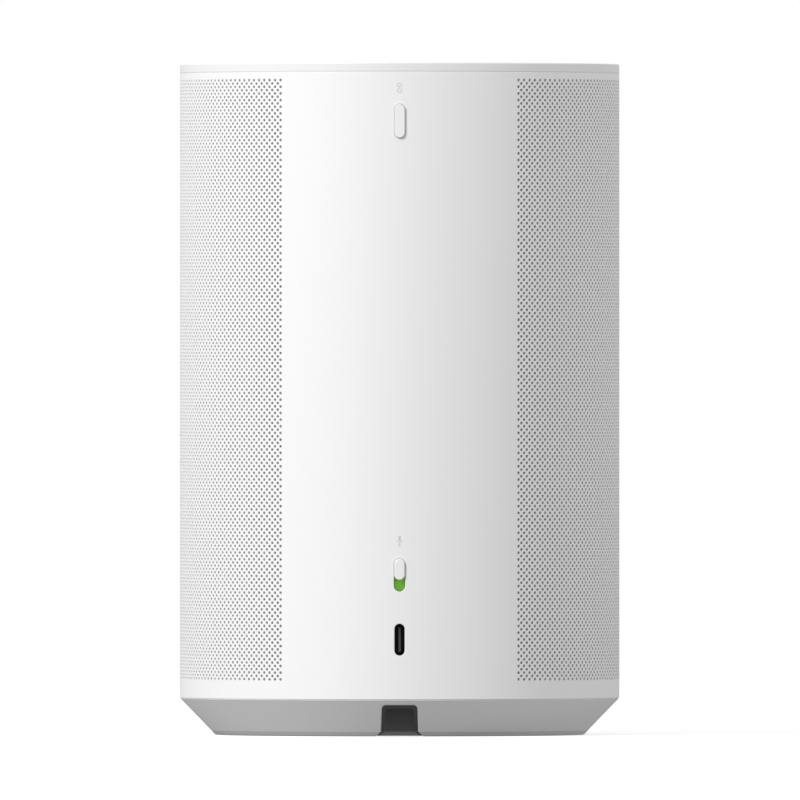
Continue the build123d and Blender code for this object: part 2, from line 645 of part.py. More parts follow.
# ======================================================================= woofer
# Sketched in section: x is the radius and y the height in front of the baffle.
WOOFER_ORIGIN = (0, BAFFLE_FRONT, WOOFER_Z)
WOOFER_SECTION = Plane(origin=WOOFER_ORIGIN, x_dir=(1, 0, 0), z_dir=(0, 0, -1))
WOOFER_AXIS = Axis(WOOFER_ORIGIN, (0, -1, 0))
COIL_INNER = 12.6
COIL_OUTER = 13.4
PLATE_BACK = -24.0
MAGNET_BACK = -38.0
YOKE_BACK = -42.0
CONE_EDGE = 32.0
ROLL_CENTRE = 34.6
SPIDER_HEIGHT = -12.0
SPIDER_CLOTH = 0.5
RIPPLE_START = 14.0
RIPPLE_PITCH = 2.6
RIPPLES = 6


def woofer_ring(inner, outer, low, high):
    """A plain ring in the woofer's section, between two radii and two heights."""
    with Locations(((inner + outer) / 2, (low + high) / 2)):
        Rectangle(outer - inner, high - low)


with BuildPart() as woofer_basket:
    with BuildSketch(WOOFER_SECTION):
        with BuildLine():
            Polyline(
                (FLANGE_RADIUS, 0),
                (FLANGE_RADIUS, 2.5),
                (36.5, 2.5),
                (36.5, -2.0),
                (27.0, -18.0),
                (15.0, -18.0),
                (15.0, -20.0),
                (28.4, -20.0),
                (38.0, -2.6),
                (38.0, 0),
                close=True,
            )
        make_face()
    revolve(axis=WOOFER_AXIS)
    for n in range(WOOFER_SCREWS):
        angle = 60.0 * n
        side = (cos(radians(angle)), 0, sin(radians(angle)))
        window = Plane(origin=(0, BAFFLE_FRONT + 11, WOOFER_Z), x_dir=(0, 1, 0), z_dir=side)
        with BuildSketch(window.offset(20)):
            SlotOverall(14, 9, rotation=90)
        extrude(amount=25, mode=Mode.SUBTRACT)
    with BuildSketch(rear_plane(BAFFLE_FRONT - 4)):
        with Locations(*WOOFER_BOSS_SPOTS):
            Circle(SCREW_HOLE)
    extrude(amount=-6, mode=Mode.SUBTRACT)
keep(woofer_basket.part, "woofer_basket")

with BuildPart() as woofer_top_plate:
    with BuildSketch(WOOFER_SECTION):
        woofer_ring(COIL_OUTER + 0.35, 27.0, PLATE_BACK, -20.0)
    revolve(axis=WOOFER_AXIS)
keep(woofer_top_plate.part, "woofer_top_plate")

with BuildPart() as woofer_magnet:
    with BuildSketch(WOOFER_SECTION):
        woofer_ring(17.0, 33.0, MAGNET_BACK, PLATE_BACK)
    revolve(axis=WOOFER_AXIS)
    fillet(woofer_magnet.edges().sort_by(SortBy.LENGTH)[-2:], 1.0)
keep(woofer_magnet.part, "woofer_magnet")

with BuildPart() as woofer_yoke:
    with BuildSketch(WOOFER_SECTION):
        woofer_ring(3.0, 27.0, YOKE_BACK, MAGNET_BACK)
        woofer_ring(3.0, COIL_INNER - 0.4, MAGNET_BACK, -19.0)
    revolve(axis=WOOFER_AXIS)
keep(woofer_yoke.part, "woofer_yoke")

with BuildPart() as woofer_former:
    with BuildSketch(WOOFER_SECTION):
        woofer_ring(COIL_INNER, COIL_INNER + 0.25, -32.0, -6.6)
    revolve(axis=WOOFER_AXIS)
keep(woofer_former.part, "woofer_former")

with BuildPart() as woofer_voice_coil:
    with BuildSketch(WOOFER_SECTION):
        woofer_ring(COIL_INNER + 0.27, COIL_OUTER, -30.0, -18.4)
    revolve(axis=WOOFER_AXIS)
keep(woofer_voice_coil.part, "woofer_voice_coil")

# The spider is a cloth disc pressed into ripples between the former and the basket.
with BuildPart() as woofer_spider:
    with BuildSketch(WOOFER_SECTION):
        half_cloth = SPIDER_CLOTH / 2
        woofer_ring(13.0, RIPPLE_START + 0.2, SPIDER_HEIGHT - half_cloth, SPIDER_HEIGHT + half_cloth)
        for n in range(RIPPLES):
            middle = RIPPLE_START + RIPPLE_PITCH * (n + 0.5)
            with Locations((middle, SPIDER_HEIGHT)):
                Circle(RIPPLE_PITCH / 2 + half_cloth)
                Circle(RIPPLE_PITCH / 2 - half_cloth, mode=Mode.SUBTRACT)
            cut_side = 1 if n % 2 else -1
            with Locations((middle, SPIDER_HEIGHT + cut_side * 1.25)):
                Rectangle(RIPPLE_PITCH + 0.49, 2.0, mode=Mode.SUBTRACT)
    revolve(axis=WOOFER_AXIS)
keep(woofer_spider.part, "woofer_spider")

with BuildPart() as woofer_cone:
    with BuildSketch(WOOFER_SECTION):
        with BuildLine():
            Polyline(
                (COIL_INNER + 0.3, -8.4),
                (CONE_EDGE, 0.6),
                (CONE_EDGE, 1.8),
                (COIL_INNER + 0.3, -7.2),
                close=True,
            )
        make_face()
    revolve(axis=WOOFER_AXIS)
keep(woofer_cone.part, "woofer_cone")

with BuildPart() as woofer_dust_cap:
    with BuildSketch(WOOFER_SECTION):
        with BuildLine():
            under = ThreePointArc((0, -2.6), (8.0, -3.7), (14.6, -6.2))
            over = ThreePointArc((0, -2.0), (8.2, -3.1), (15.0, -5.7))
            Line(under @ 0, over @ 0)
            Line(under @ 1, over @ 1)
        make_face()
    revolve(axis=WOOFER_AXIS)
keep(woofer_dust_cap.part, "woofer_dust_cap")

with BuildPart() as woofer_surround:
    with BuildSketch(WOOFER_SECTION):
        with Locations((ROLL_CENTRE, 2.5)):
            Circle(2.9)
            Circle(2.3, mode=Mode.SUBTRACT)
        with Locations((ROLL_CENTRE, 0)):
            Rectangle(8, 5, mode=Mode.SUBTRACT)
        woofer_ring(30.6, 32.3, 1.9, 2.52)
        woofer_ring(37.0, 40.0, 2.52, 3.1)
    revolve(axis=WOOFER_AXIS)
keep(woofer_surround.part, "woofer_surround")

with BuildPart() as woofer_screws:
    woofer_heads = [
        Location((x, BAFFLE_FRONT - 2.5, z), (90, 0, 0)) for x, z in WOOFER_BOSS_SPOTS
    ]
    with Locations(*woofer_heads):
        add(make_screw(10, head_radius=2.1))
keep(woofer_screws.part, "woofer_screws")

# ==================================================================== tweeters
# The housing's slanted faces pass through the mouths of both horns.
NOSE_HALF = 10.0
SHOULDER_X = 44.0
SLANT = tan(radians(TWEETER_ANGLE))
nose_y = TWEETER_Y - (TWEETER_X - NOSE_HALF) * SLANT
shoulder_y = TWEETER_Y + (SHOULDER_X - TWEETER_X) * SLANT


def waveguide_outline():
    """The plan of the tweeter housing: a blunt nose, two slanted faces and a flat back."""
    with BuildLine(Plane.XY) as outline:
        Polyline(
            (-NOSE_HALF, nose_y),
            (NOSE_HALF, nose_y),
            (SHOULDER_X, shoulder_y),
            (SHOULDER_X, ENCLOSURE_UPPER_FRONT),
            (-SHOULDER_X, ENCLOSURE_UPPER_FRONT),
            (-SHOULDER_X, shoulder_y),
            close=True,
        )
    make_face(outline.edges())


with BuildPart() as tweeter_waveguide:
    with BuildSketch(Plane.XY.offset(WAVEGUIDE_BOTTOM)):
        waveguide_outline()
    extrude(amount=WAVEGUIDE_TOP - WAVEGUIDE_BOTTOM)
    fillet(tweeter_waveguide.edges().filter_by(Axis.Z).group_by(Axis.Y)[0], 3)
    with BuildSketch(Plane.XY.offset(WAVEGUIDE_BOTTOM + WAVEGUIDE_WALL)):
        waveguide_outline()
        offset(amount=-WAVEGUIDE_WALL, mode=Mode.REPLACE)
        with Locations((0, ENCLOSURE_UPPER_FRONT)):
            Rectangle(2 * (SHOULDER_X - WAVEGUIDE_WALL), 2 * WAVEGUIDE_WALL + 0.2)
    extrude(amount=WAVEGUIDE_TOP - WAVEGUIDE_BOTTOM - 2 * WAVEGUIDE_WALL, mode=Mode.SUBTRACT)
    # Tabs for the screws into the enclosure.
    with BuildSketch(rear_plane(ENCLOSURE_UPPER_FRONT)):
        with Locations(*WAVEGUIDE_SCREW_SPOTS):
            Rectangle(2 * (SHOULDER_X - 38.0) - 0.5, 12)
    extrude(amount=WAVEGUIDE_WALL)
    with BuildSketch(rear_plane(ENCLOSURE_UPPER_FRONT)):
        with Locations(*WAVEGUIDE_SCREW_SPOTS):
            Circle(SCREW_HOLE)
    extrude(amount=WAVEGUIDE_WALL + 1, mode=Mode.SUBTRACT)
    for side in (1, -1):
        with Locations(tweeter_plane(side)):
            Cylinder(17, HORN_DEPTH + 6, align=(Align.CENTER, Align.CENTER, Align.MAX))
    for side in (1, -1):
        with Locations(tweeter_plane(side)):
            Cone(
                HORN_THROAT,
                HORN_MOUTH,
                HORN_DEPTH,
                align=(Align.CENTER, Align.CENTER, Align.MAX),
                mode=Mode.SUBTRACT,
            )
        with Locations(tweeter_plane(side).offset(-HORN_DEPTH)):
            Cylinder(15.2, 30, align=(Align.CENTER, Align.CENTER, Align.MAX), mode=Mode.SUBTRACT)
keep(tweeter_waveguide.part, "tweeter_waveguide")

with BuildPart() as waveguide_screws:
    tab_front = ENCLOSURE_UPPER_FRONT - WAVEGUIDE_WALL
    waveguide_heads = [Location((x, tab_front, z), (90, 0, 0)) for x, z in WAVEGUIDE_SCREW_SPOTS]
    with Locations(*waveguide_heads):
        add(make_screw(8.5))
keep(waveguide_screws.part, "waveguide_screws")

DOME_RADIUS = 9.6
PLATE_FRONT = -HORN_DEPTH - 0.05
MOTOR_FRONT = -9.5
MOTOR_BACK = -20.0
DOME_BASE = -8.4


def tweeter_section(side):
    """The section plane of one tweeter: x is the radius and y the way it faces."""
    mouth = tweeter_plane(side)
    return Plane(origin=mouth.origin, x_dir=mouth.x_dir, z_dir=mouth.x_dir.cross(mouth.z_dir))


def tweeter_axis(side):
    """The line that one tweeter is turned about."""
    mouth = tweeter_plane(side)
    return Axis(mouth.origin, mouth.z_dir)


with BuildPart() as tweeter_faceplates:
    for side in (1, -1):
        with BuildSketch(tweeter_section(side)):
            woofer_ring(HORN_THROAT + 0.1, 15.0, MOTOR_FRONT, PLATE_FRONT)
        revolve(axis=tweeter_axis(side))
keep(tweeter_faceplates.part, "tweeter_faceplates")

with BuildPart() as tweeter_motors:
    for side in (1, -1):
        with BuildSketch(tweeter_section(side)):
            woofer_ring(0, 13.0, MOTOR_BACK, -17.0)
            woofer_ring(0, 8.8, -17.0, MOTOR_FRONT - 0.4)
            woofer_ring(10.2, 13.0, -17.0, MOTOR_FRONT)
        revolve(axis=tweeter_axis(side))
keep(tweeter_motors.part, "tweeter_motors")

# Each dome, its flat edge and the tube that carries its coil are one light piece.
for side, name in ((1, "right"), (-1, "left")):
    with BuildPart() as dome:
        with BuildSketch(tweeter_section(side)):
            with BuildLine():
                Polyline(
                    (0, DOME_BASE + 3.4),
                    (0, DOME_BASE + 3.0),
                    (5.0, DOME_BASE + 2.2),
                    (8.0, DOME_BASE + 0.9),
                    (9.3, DOME_BASE - 0.1),
                    (9.3, -14.0),
                    (DOME_RADIUS, -14.0),
                    (DOME_RADIUS, DOME_BASE - 0.1),
                    (10.6, DOME_BASE - 0.1),
                    (10.6, DOME_BASE + 0.3),
                    (DOME_RADIUS, DOME_BASE + 0.3),
                    (8.2, DOME_BASE + 1.3),
                    (5.1, DOME_BASE + 2.6),
                    close=True,
                )
            make_face()
        revolve(axis=tweeter_axis(side))
    keep(dome.part, f"tweeter_dome_{name}")

# ================================================================== electronics
FIN_PITCH = 5.2
FINS = 10

with BuildPart() as heat_sink:
    with Locations((0, ENCLOSURE_REAR + 1.7, 126.0)):
        Box(54, 3, 66)
    with Locations((0, ENCLOSURE_REAR + 5.7, 126.0)):
        with GridLocations(FIN_PITCH, 1, FINS, 1):
            Box(1.2, 5, 66)
keep(heat_sink.part, "heat_sink")


def board_with_holes(bottom, top, spots):
    """A board in the rear bay, with a hole for each of its screws."""
    with BuildSketch(rear_plane(BOARD_Y)) as outline:
        with Locations((0, (bottom + top) / 2)):
            RectangleRounded(MAIN_BOARD_WIDTH, top - bottom, 2)
        with Locations(*[spot for spot in spots if bottom < spot[1] < top]):
            Circle(SCREW_HOLE, mode=Mode.SUBTRACT)
    extrude(outline.sketch, amount=-BOARD_THICKNESS)


with BuildPart() as main_board:
    board_with_holes(MAIN_BOARD_BOTTOM, MAIN_BOARD_TOP, BOARD_SCREW_SPOTS)
keep(main_board.part, "main_board")

with BuildPart() as power_board:
    board_with_holes(POWER_BOARD_BOTTOM, POWER_BOARD_TOP, BOARD_SCREW_SPOTS)
keep(power_board.part, "power_board")

# Chips stand on the rear face of the main board: (x, z, width, height, thickness).
BOARD_REAR = BOARD_Y + BOARD_THICKNESS
CHIPS = [
    (-20.0, 150.0, 9.0, 9.0, 1.0),
    (20.0, 150.0, 7.0, 7.0, 0.9),
    (-22.0, 100.0, 8.0, 12.0, 1.2),
    (0.0, 96.0, 8.0, 8.0, 1.2),
    (22.0, 100.0, 8.0, 12.0, 1.2),
    (0.0, 122.0, 14.0, 14.0, 1.2),
    (6.0, 134.5, 9.0, 6.0, 1.0),
]

with BuildPart() as main_board_chips:
    for x, z, chip_width, chip_height, chip_thickness in CHIPS:
        with Locations((x, BOARD_REAR + chip_thickness / 2, z)):
            Box(chip_width, chip_thickness, chip_height)
keep(main_board_chips.part, "main_board_chips")

with BuildPart() as shield_can:
    with Locations((1.5, BOARD_REAR + 1.5, 126.5)):
        Box(30, 3, 30)
    with Locations((1.5, BOARD_REAR + 1.3, 126.5)):
        Box(29.2, 2.6, 29.2, mode=Mode.SUBTRACT)
keep(shield_can.part, "shield_can")

# The transformer, the capacitors and the coil of the supply stand on the power board.
with BuildPart() as power_parts:
    with Locations((-16, BOARD_Y - 4.75, 60)):
        Box(20, 9.5, 18)
    with Locations((14, BOARD_REAR + 3.4, 46)):
        Box(10, 6.8, 16)
    with Locations((-10, BOARD_REAR + 3.2, 48)):
        Box(15, 6.4, 10)
    with Locations(Location((-20, BOARD_REAR + 4, 74), (0, 90, 0))):
        Cylinder(4, 14)
    with Locations(Location((4, BOARD_REAR + 4, 74), (0, 90, 0))):
        Cylinder(4, 14)
    with Locations((22, BOARD_Y - 2.5, 60)):
        Box(10, 5, 14)
keep(power_parts.part, "power_parts")

with BuildPart() as board_screws:
    board_heads = [Location((x, BOARD_REAR, z), (-90, 0, 0)) for x, z in BOARD_SCREW_SPOTS]
    with Locations(*board_heads):
        add(make_screw(9))
keep(board_screws.part, "board_screws")

with BuildPart() as wifi_antennas:
    with Locations((-40.5, 38, 142), (40.5, 38, 142)):
        Box(0.8, 8, 26)
    with Locations((-39.3, 36, 142), (39.3, 36, 142)):
        Box(1.5, 3, 3)
keep(wifi_antennas.part, "wifi_antennas")

# ============================================================ rear sockets and controls
REAR_BOARD_BACK = REAR_BOARD_Y + BOARD_THICKNESS
SLEEVE_INSIDE = REAR - SLEEVE_WALL


def rear_board(width, bottom, top, spots):
    """A small upright board that is screwed to the bosses inside the sleeve."""
    with BuildSketch(rear_plane(REAR_BOARD_Y)) as outline:
        with Locations((0, (bottom + top) / 2)):
            RectangleRounded(width, top - bottom, 1.5)
        with Locations(*spots):
            Circle(SCREW_HOLE, mode=Mode.SUBTRACT)
    extrude(outline.sketch, amount=-BOARD_THICKNESS)


with BuildPart() as rear_io_board:
    rear_board(22, 17.5, 62.5, IO_BOARD_BOSSES)
keep(rear_io_board.part, "rear_io_board")

with BuildPart() as button_board:
    rear_board(20, 157.5, 172.0, BUTTON_BOARD_BOSSES)
keep(button_board.part, "button_board")

with BuildPart() as rear_board_screws:
    rear_heads = [Location((x, REAR_BOARD_Y, z), (90, 0, 0)) for x, z in SLEEVE_BOSSES]
    with Locations(*rear_heads):
        add(make_screw(6))
keep(rear_board_screws.part, "rear_board_screws")

with BuildPart() as usb_socket:
    with BuildSketch(rear_plane(REAR_BOARD_BACK)):
        capsule(9.0, 3.3, USB_Z)
    extrude(amount=-(SLEEVE_INSIDE - 0.1 - REAR_BOARD_BACK))
    with BuildSketch(rear_plane(REAR_BOARD_BACK + 1.2)):
        capsule(8.4, 2.6, USB_Z)
    extrude(amount=-8, mode=Mode.SUBTRACT)
keep(usb_socket.part, "usb_socket")

with BuildPart() as usb_tongue:
    with BuildSketch(rear_plane(REAR_BOARD_BACK + 1.2)):
        with Locations((0, USB_Z)):
            Rectangle(0.7, 6.7)
    extrude(amount=-4.9)
    fillet(usb_tongue.edges().group_by(Axis.Y)[-1], 0.2)
keep(usb_tongue.part, "usb_tongue")

BUTTON_FLANGE = SLEEVE_INSIDE - 0.1
with BuildPart() as pairing_button:
    with BuildSketch(rear_plane(BUTTON_FLANGE - 1.2)):
        capsule(BUTTON_LENGTH + 2.2, BUTTON_WIDTH + 2.2, BUTTON_Z)
    extrude(amount=-1.2)
    with BuildSketch(rear_plane(BUTTON_FLANGE)):
        capsule(BUTTON_LENGTH, BUTTON_WIDTH, BUTTON_Z)
    extrude(amount=-(REAR + CONTROL_PROUD - BUTTON_FLANGE))
    fillet(pairing_button.faces().sort_by(Axis.Y)[-1].edges(), 0.35)
    with BuildSketch(rear_plane(BUTTON_FLANGE - 2.6)):
        with Locations((0, BUTTON_Z)):
            Circle(1.2)
    extrude(amount=-1.5)
keep(pairing_button.part, "pairing_button")

with BuildPart() as button_switch:
    with Locations((0, REAR_BOARD_BACK + 1.5, BUTTON_Z)):
        Box(6, 3, 6)
    with BuildSketch(rear_plane(REAR_BOARD_BACK + 3)):
        with Locations((0, BUTTON_Z)):
            Circle(1.6)
    extrude(amount=-(BUTTON_FLANGE - 2.6 - BUTTON_TRAVEL - 0.1 - REAR_BOARD_BACK - 3))
keep(button_switch.part, "button_switch")

# Slide switch: the knob, its carrier plate and the green flag slide as one.
SLOT_TOP = SWITCH_Z + SWITCH_SLOT_LENGTH / 2
SLOT_BOTTOM = SWITCH_Z - SWITCH_SLOT_LENGTH / 2
KNOB_Z = SLOT_TOP - CLEARANCE / 2 - KNOB_LENGTH / 2
CARRIER_BACK = 61.2
CARRIER_FRONT = 62.4
CARRIER_BOTTOM = SLOT_BOTTOM - 0.5
CARRIER_TOP = SLOT_TOP + SWITCH_TRAVEL + 0.5
FLAG_THICKNESS = 0.3

with BuildPart() as switch_knob:
    with BuildSketch(rear_plane(CARRIER_FRONT + FLAG_THICKNESS + 0.05)):
        capsule(KNOB_LENGTH, KNOB_WIDTH, KNOB_Z)
    extrude(amount=-(REAR + CONTROL_PROUD - CARRIER_FRONT - FLAG_THICKNESS - 0.05))
    fillet(switch_knob.faces().sort_by(Axis.Y)[-1].edges(), 0.35)
    with BuildSketch(rear_plane(CARRIER_FRONT)):
        with Locations((0, KNOB_Z + 1.0)):
            Rectangle(1.6, 2.4)
    extrude(amount=-1)
keep(switch_knob.part, "switch_knob")

with BuildPart() as switch_carrier:
    with BuildSketch(rear_plane(CARRIER_BACK)):
        with Locations((0, (CARRIER_BOTTOM + CARRIER_TOP) / 2)):
            RectangleRounded(6.0, CARRIER_TOP - CARRIER_BOTTOM, 0.8)
    extrude(amount=-(CARRIER_FRONT - CARRIER_BACK))
    with BuildSketch(rear_plane(CARRIER_BACK - 0.8)):
        with Locations((0, SWITCH_Z + 1.5), (0, SWITCH_Z - 1.5)):
            Rectangle(4.0, 1.0)
    extrude(amount=-0.8)
keep(switch_carrier.part, "switch_carrier")

with BuildPart() as switch_flag:
    with BuildSketch(rear_plane(CARRIER_FRONT)):
        with Locations((0, (CARRIER_BOTTOM + KNOB_Z - 1.2) / 2)):
            Rectangle(5.0, KNOB_Z - 1.2 - CARRIER_BOTTOM)
    extrude(amount=-FLAG_THICKNESS)
keep(switch_flag.part, "switch_flag")

SLIDER_WIDTH = 1.4
SWITCH_FRONT = REAR_BOARD_BACK + 2.5

with BuildPart() as slide_switch:
    with Locations((0, (REAR_BOARD_BACK + SWITCH_FRONT) / 2, SWITCH_Z - SWITCH_TRAVEL / 2)):
        Box(4, SWITCH_FRONT - REAR_BOARD_BACK, 9)
    with Locations((0, SWITCH_FRONT - 0.5, SWITCH_Z - SWITCH_TRAVEL / 2)):
        Box(SLIDER_WIDTH + 0.2, 1, SLIDER_WIDTH + SWITCH_TRAVEL + 0.2, mode=Mode.SUBTRACT)
keep(slide_switch.part, "slide_switch")

with BuildPart() as switch_slider:
    with BuildSketch(rear_plane(SWITCH_FRONT - 0.9)):
        with Locations((0, SWITCH_Z)):
            Rectangle(SLIDER_WIDTH, SLIDER_WIDTH)
    extrude(amount=-(CARRIER_BACK - 0.05 - SWITCH_FRONT + 0.9))
keep(switch_slider.part, "switch_slider")

# ====================================================================== wiring
# The ribbon drops from the touch board, through the frame, to the main board.
with BuildPart() as touch_ribbon:
    with BuildSketch(Plane.YZ.offset(-FLEX_WIDTH / 2)):
        with BuildLine():
            FilletPolyline(
                (FLEX_Y, TOUCH_BOARD_BOTTOM),
                (FLEX_Y, 168.0),
                (BOARD_REAR + 0.15, 163.0),
                (BOARD_REAR + 0.15, 158.5),
                radius=2.0,
            )
        trace(line_width=0.3)
    extrude(amount=FLEX_WIDTH)
keep(touch_ribbon.part, "touch_ribbon")


def round_wire(points, bend, wire_radius):
    """A round insulated wire through these points, with its corners rounded."""
    with BuildLine(Plane.XY) as route:
        FilletPolyline(*points, radius=bend)
    with BuildSketch(Plane(origin=route.line @ 0, z_dir=route.line % 0)) as section:
        Circle(wire_radius)
    sweep(section.sketch, path=route.line)


with BuildPart() as inlet_wires:
    for x in (-PIN_SPACING / 2, PIN_SPACING / 2):
        round_wire(
            [(x, WELL_Y + 4.0, INLET_TOP), (x, WELL_Y + 4.0, 39.5), (x, BOARD_REAR, 39.5)],
            2.0,
            0.9,
        )
keep(inlet_wires.part, "inlet_wires")

with BuildPart() as woofer_wires:
    for x in (-2.5, 2.5):
        round_wire(
            [
                (x, wall_rear - 10.4, 116.0),
                (x, -2.0, 112.0),
                (x, BAFFLE_FRONT + 9.0, WOOFER_Z + 35.0),
            ],
            10.0,
            0.8,
        )
keep(woofer_wires.part, "woofer_wires")

# ==================================================================== write out
os.makedirs("parts", exist_ok=True)
for stale in os.listdir("parts"):
    os.remove(os.path.join("parts", stale))
for piece in finished:
    export_step(piece, f"parts/{piece.label}.step")
print(len(finished), "nodes written")
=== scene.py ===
# %% [markdown]
# # A smart speaker with a perforated sleeve
#
# The object is a tall speaker with a racetrack plan: two half circles joined by short straights.
# A white sleeve wraps it. Most of the sleeve is a fine grille of small holes, and a smooth strip
# down the rear carries a button, a slide switch and a socket. A touch panel closes the top, and a
# sloping base with a cord channel stands on a thin foot.
#
# The engineering model comes first, as a fixed frame. Everything made here goes round it.

# %% Load the frame
import json
from math import atan2, cos, pi, radians, sin, sqrt, tan

import bmesh
import bpy
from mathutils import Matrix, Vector
from mathutils.geometry import delaunay_2d_cdt

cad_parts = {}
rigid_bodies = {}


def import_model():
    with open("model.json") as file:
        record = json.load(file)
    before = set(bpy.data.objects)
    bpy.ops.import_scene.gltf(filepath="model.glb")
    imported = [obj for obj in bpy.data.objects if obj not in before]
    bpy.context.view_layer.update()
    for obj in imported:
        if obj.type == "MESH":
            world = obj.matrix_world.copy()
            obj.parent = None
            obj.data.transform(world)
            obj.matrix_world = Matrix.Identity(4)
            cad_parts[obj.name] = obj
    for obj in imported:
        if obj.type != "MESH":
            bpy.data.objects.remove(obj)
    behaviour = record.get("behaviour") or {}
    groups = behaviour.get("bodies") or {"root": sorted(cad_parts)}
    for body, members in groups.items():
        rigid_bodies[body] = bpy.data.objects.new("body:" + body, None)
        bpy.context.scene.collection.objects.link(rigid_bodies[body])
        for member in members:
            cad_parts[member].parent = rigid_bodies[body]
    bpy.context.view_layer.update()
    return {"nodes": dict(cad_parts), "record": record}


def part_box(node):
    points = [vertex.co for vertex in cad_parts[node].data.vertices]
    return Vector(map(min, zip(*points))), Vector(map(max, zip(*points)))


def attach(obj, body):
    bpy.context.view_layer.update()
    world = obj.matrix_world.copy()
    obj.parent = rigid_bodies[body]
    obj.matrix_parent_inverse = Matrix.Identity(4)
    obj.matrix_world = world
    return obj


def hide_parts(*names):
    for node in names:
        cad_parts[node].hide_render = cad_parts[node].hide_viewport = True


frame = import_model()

record = frame["record"]

# %% [markdown]
# ## The sizes
#
# Every size is in millimetres, as a maker would write it, and turns into metres in one place,
# where a point goes into a mesh. The outside follows one rule: a point is known by its distance
# `s` round the body from the middle of the rear, how far it is inside the outer face, and its
# height. `on_body` turns those three into a place, so a flat drawing can be wrapped on.

# %% Sizes and the wrapping rule
MM = 0.001
low, high = (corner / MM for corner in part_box("outer_sleeve"))
HALF_WIDTH = high.x
STRAIGHT = 2 * (high.y - high.x)
QUARTER_TURN = HALF_WIDTH * pi / 2
HALF_ROUND = 2 * QUARTER_TURN + STRAIGHT

FOOT_TOP = 1.2
SKIRT_TOP = 9.95
SLEEVE_BOTTOM = low.z
SLEEVE_TOP = high.z
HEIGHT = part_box("top_cap")[1].z / MM
CAP_THICKNESS = 2.4
CAP_BOTTOM = HEIGHT - CAP_THICKNESS
SLEEVE_WALL = 2.0


def on_body(s, inset, z):
    """The place this far round from the rear's middle, this far inside the face, this high."""
    far = abs(s)
    turn = (min(far, QUARTER_TURN) + max(far - QUARTER_TURN - STRAIGHT, 0)) / HALF_WIDTH
    slid = min(max(far - QUARTER_TURN, 0), STRAIGHT)
    reach = HALF_WIDTH - inset
    x = reach * sin(turn)
    return Vector((x if s >= 0 else -x, STRAIGHT / 2 - slid + reach * cos(turn), z))


print("once round the body:", round(2 * HALF_ROUND, 1), "mm")

# %% [markdown]
# ## Helpers for meshes
#
# A moulded wall is a face, the same face again at the back, and rings of quads that join their
# edges. `solid` makes such a piece from lists of points. The rings can first roll over a small
# radius, because no moulded edge is perfectly sharp, and that is where an edge catches the light.
# `fill_flat` cuts a flat outline with holes into triangles, with extra points inside it so that
# it bends smoothly when it is wrapped.

# %% Mesh helpers
WELD = 2e-7
SHARP_ANGLE = radians(32)


def finish_mesh(name, work, body="chassis"):
    """Welds the mesh, turns its faces outwards, and makes it an object with crisp edges."""
    bmesh.ops.remove_doubles(work, verts=work.verts, dist=WELD)
    bmesh.ops.dissolve_degenerate(work, dist=WELD, edges=work.edges)
    bmesh.ops.recalc_face_normals(work, faces=work.faces)
    if work.calc_volume(signed=True) < 0:
        bmesh.ops.reverse_faces(work, faces=work.faces)
    mesh = bpy.data.meshes.new(name)
    work.to_mesh(mesh)
    work.free()
    mesh.shade_smooth()
    mesh.set_sharp_from_angle(angle=SHARP_ANGLE)
    piece = bpy.data.objects.new(name, mesh)
    bpy.context.scene.collection.objects.link(piece)
    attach(piece, body)
    return piece


def open_edges(piece):
    """How many edges of a piece have only one face: 0 for a closed one."""
    sides = {}
    for face in piece.data.polygons:
        for key in face.edge_keys:
            sides[key] = sides.get(key, 0) + 1
    return sum(1 for count in sides.values() if count != 2)


def report(piece):
    """Prints a piece's size in millimetres and whether it is closed."""
    size = [round(length / MM, 2) for length in piece.dimensions]
    print(piece.name, "mm", size, "faces", len(piece.data.polygons), "open", open_edges(piece))


def solid(name, faces, front, back, walls, body="chassis"):
    """A closed piece: the faces at the front and again at the back, joined by rings of points."""
    work = bmesh.new()
    for points in (front, back):
        placed = [work.verts.new(point * MM) for point in points]
        for face in faces:
            work.faces.new([placed[i] for i in face])
    for rings in walls:
        rows = [[work.verts.new(point * MM) for point in ring] for ring in rings]
        for row, following in zip(rows, rows[1:]):
            for i in range(len(row)):
                j = (i + 1) % len(row)
                work.faces.new((row[i], row[j], following[j], following[i]))
    return finish_mesh(name, work, body)


def inside(point, loop):
    """Whether a flat point is inside a flat loop of points."""
    within = False
    for (ax, ay), (bx, by) in zip(loop, loop[1:] + loop[:1]):
        if (ay > point[1]) != (by > point[1]):
            if point[0] < ax + (point[1] - ay) * (bx - ax) / (by - ay):
                within = not within
    return within


def fill_flat(outline, holes=(), extra=()):
    """Points and triangles that fill an outline, round its holes, by way of extra points."""
    points, edges = [], []
    for loop in (outline, *holes):
        first = len(points)
        points += loop
        edges += [(first + i, first + (i + 1) % len(loop)) for i in range(len(loop))]
    points += extra
    flat = [Vector(point) for point in points]
    placed, _, faces, *_ = delaunay_2d_cdt(flat, edges, [], 1, 1e-5)
    kept = []
    for face in faces:
        middle = sum((placed[i] for i in face), Vector((0, 0))) / len(face)
        if not any(inside(middle, hole) for hole in holes):
            kept.append(face)
    return [tuple(point) for point in placed], kept


def pill(length, width, z, grow=0.0, steps=12):
    """An upright pill outline on the rear's middle line, grown by this much."""
    radius = width / 2 + grow
    half = (length - width) / 2
    points = []
    for centre, start in ((z + half, 0.0), (z - half, pi)):
        for i in range(steps + 1):
            angle = start + pi * i / steps
            points.append((radius * cos(angle), centre + radius * sin(angle)))
    return points


def rolled(radius, hold=0.08, steps=4):
    """(distance back from the edge, depth) steps that roll from a face into a wall."""
    turn = [i * pi / 2 / steps for i in range(steps + 1)]
    return [(radius + hold, 0.0)] + [
        (radius * (1 - sin(angle)), radius * (1 - cos(angle))) for angle in turn
    ]


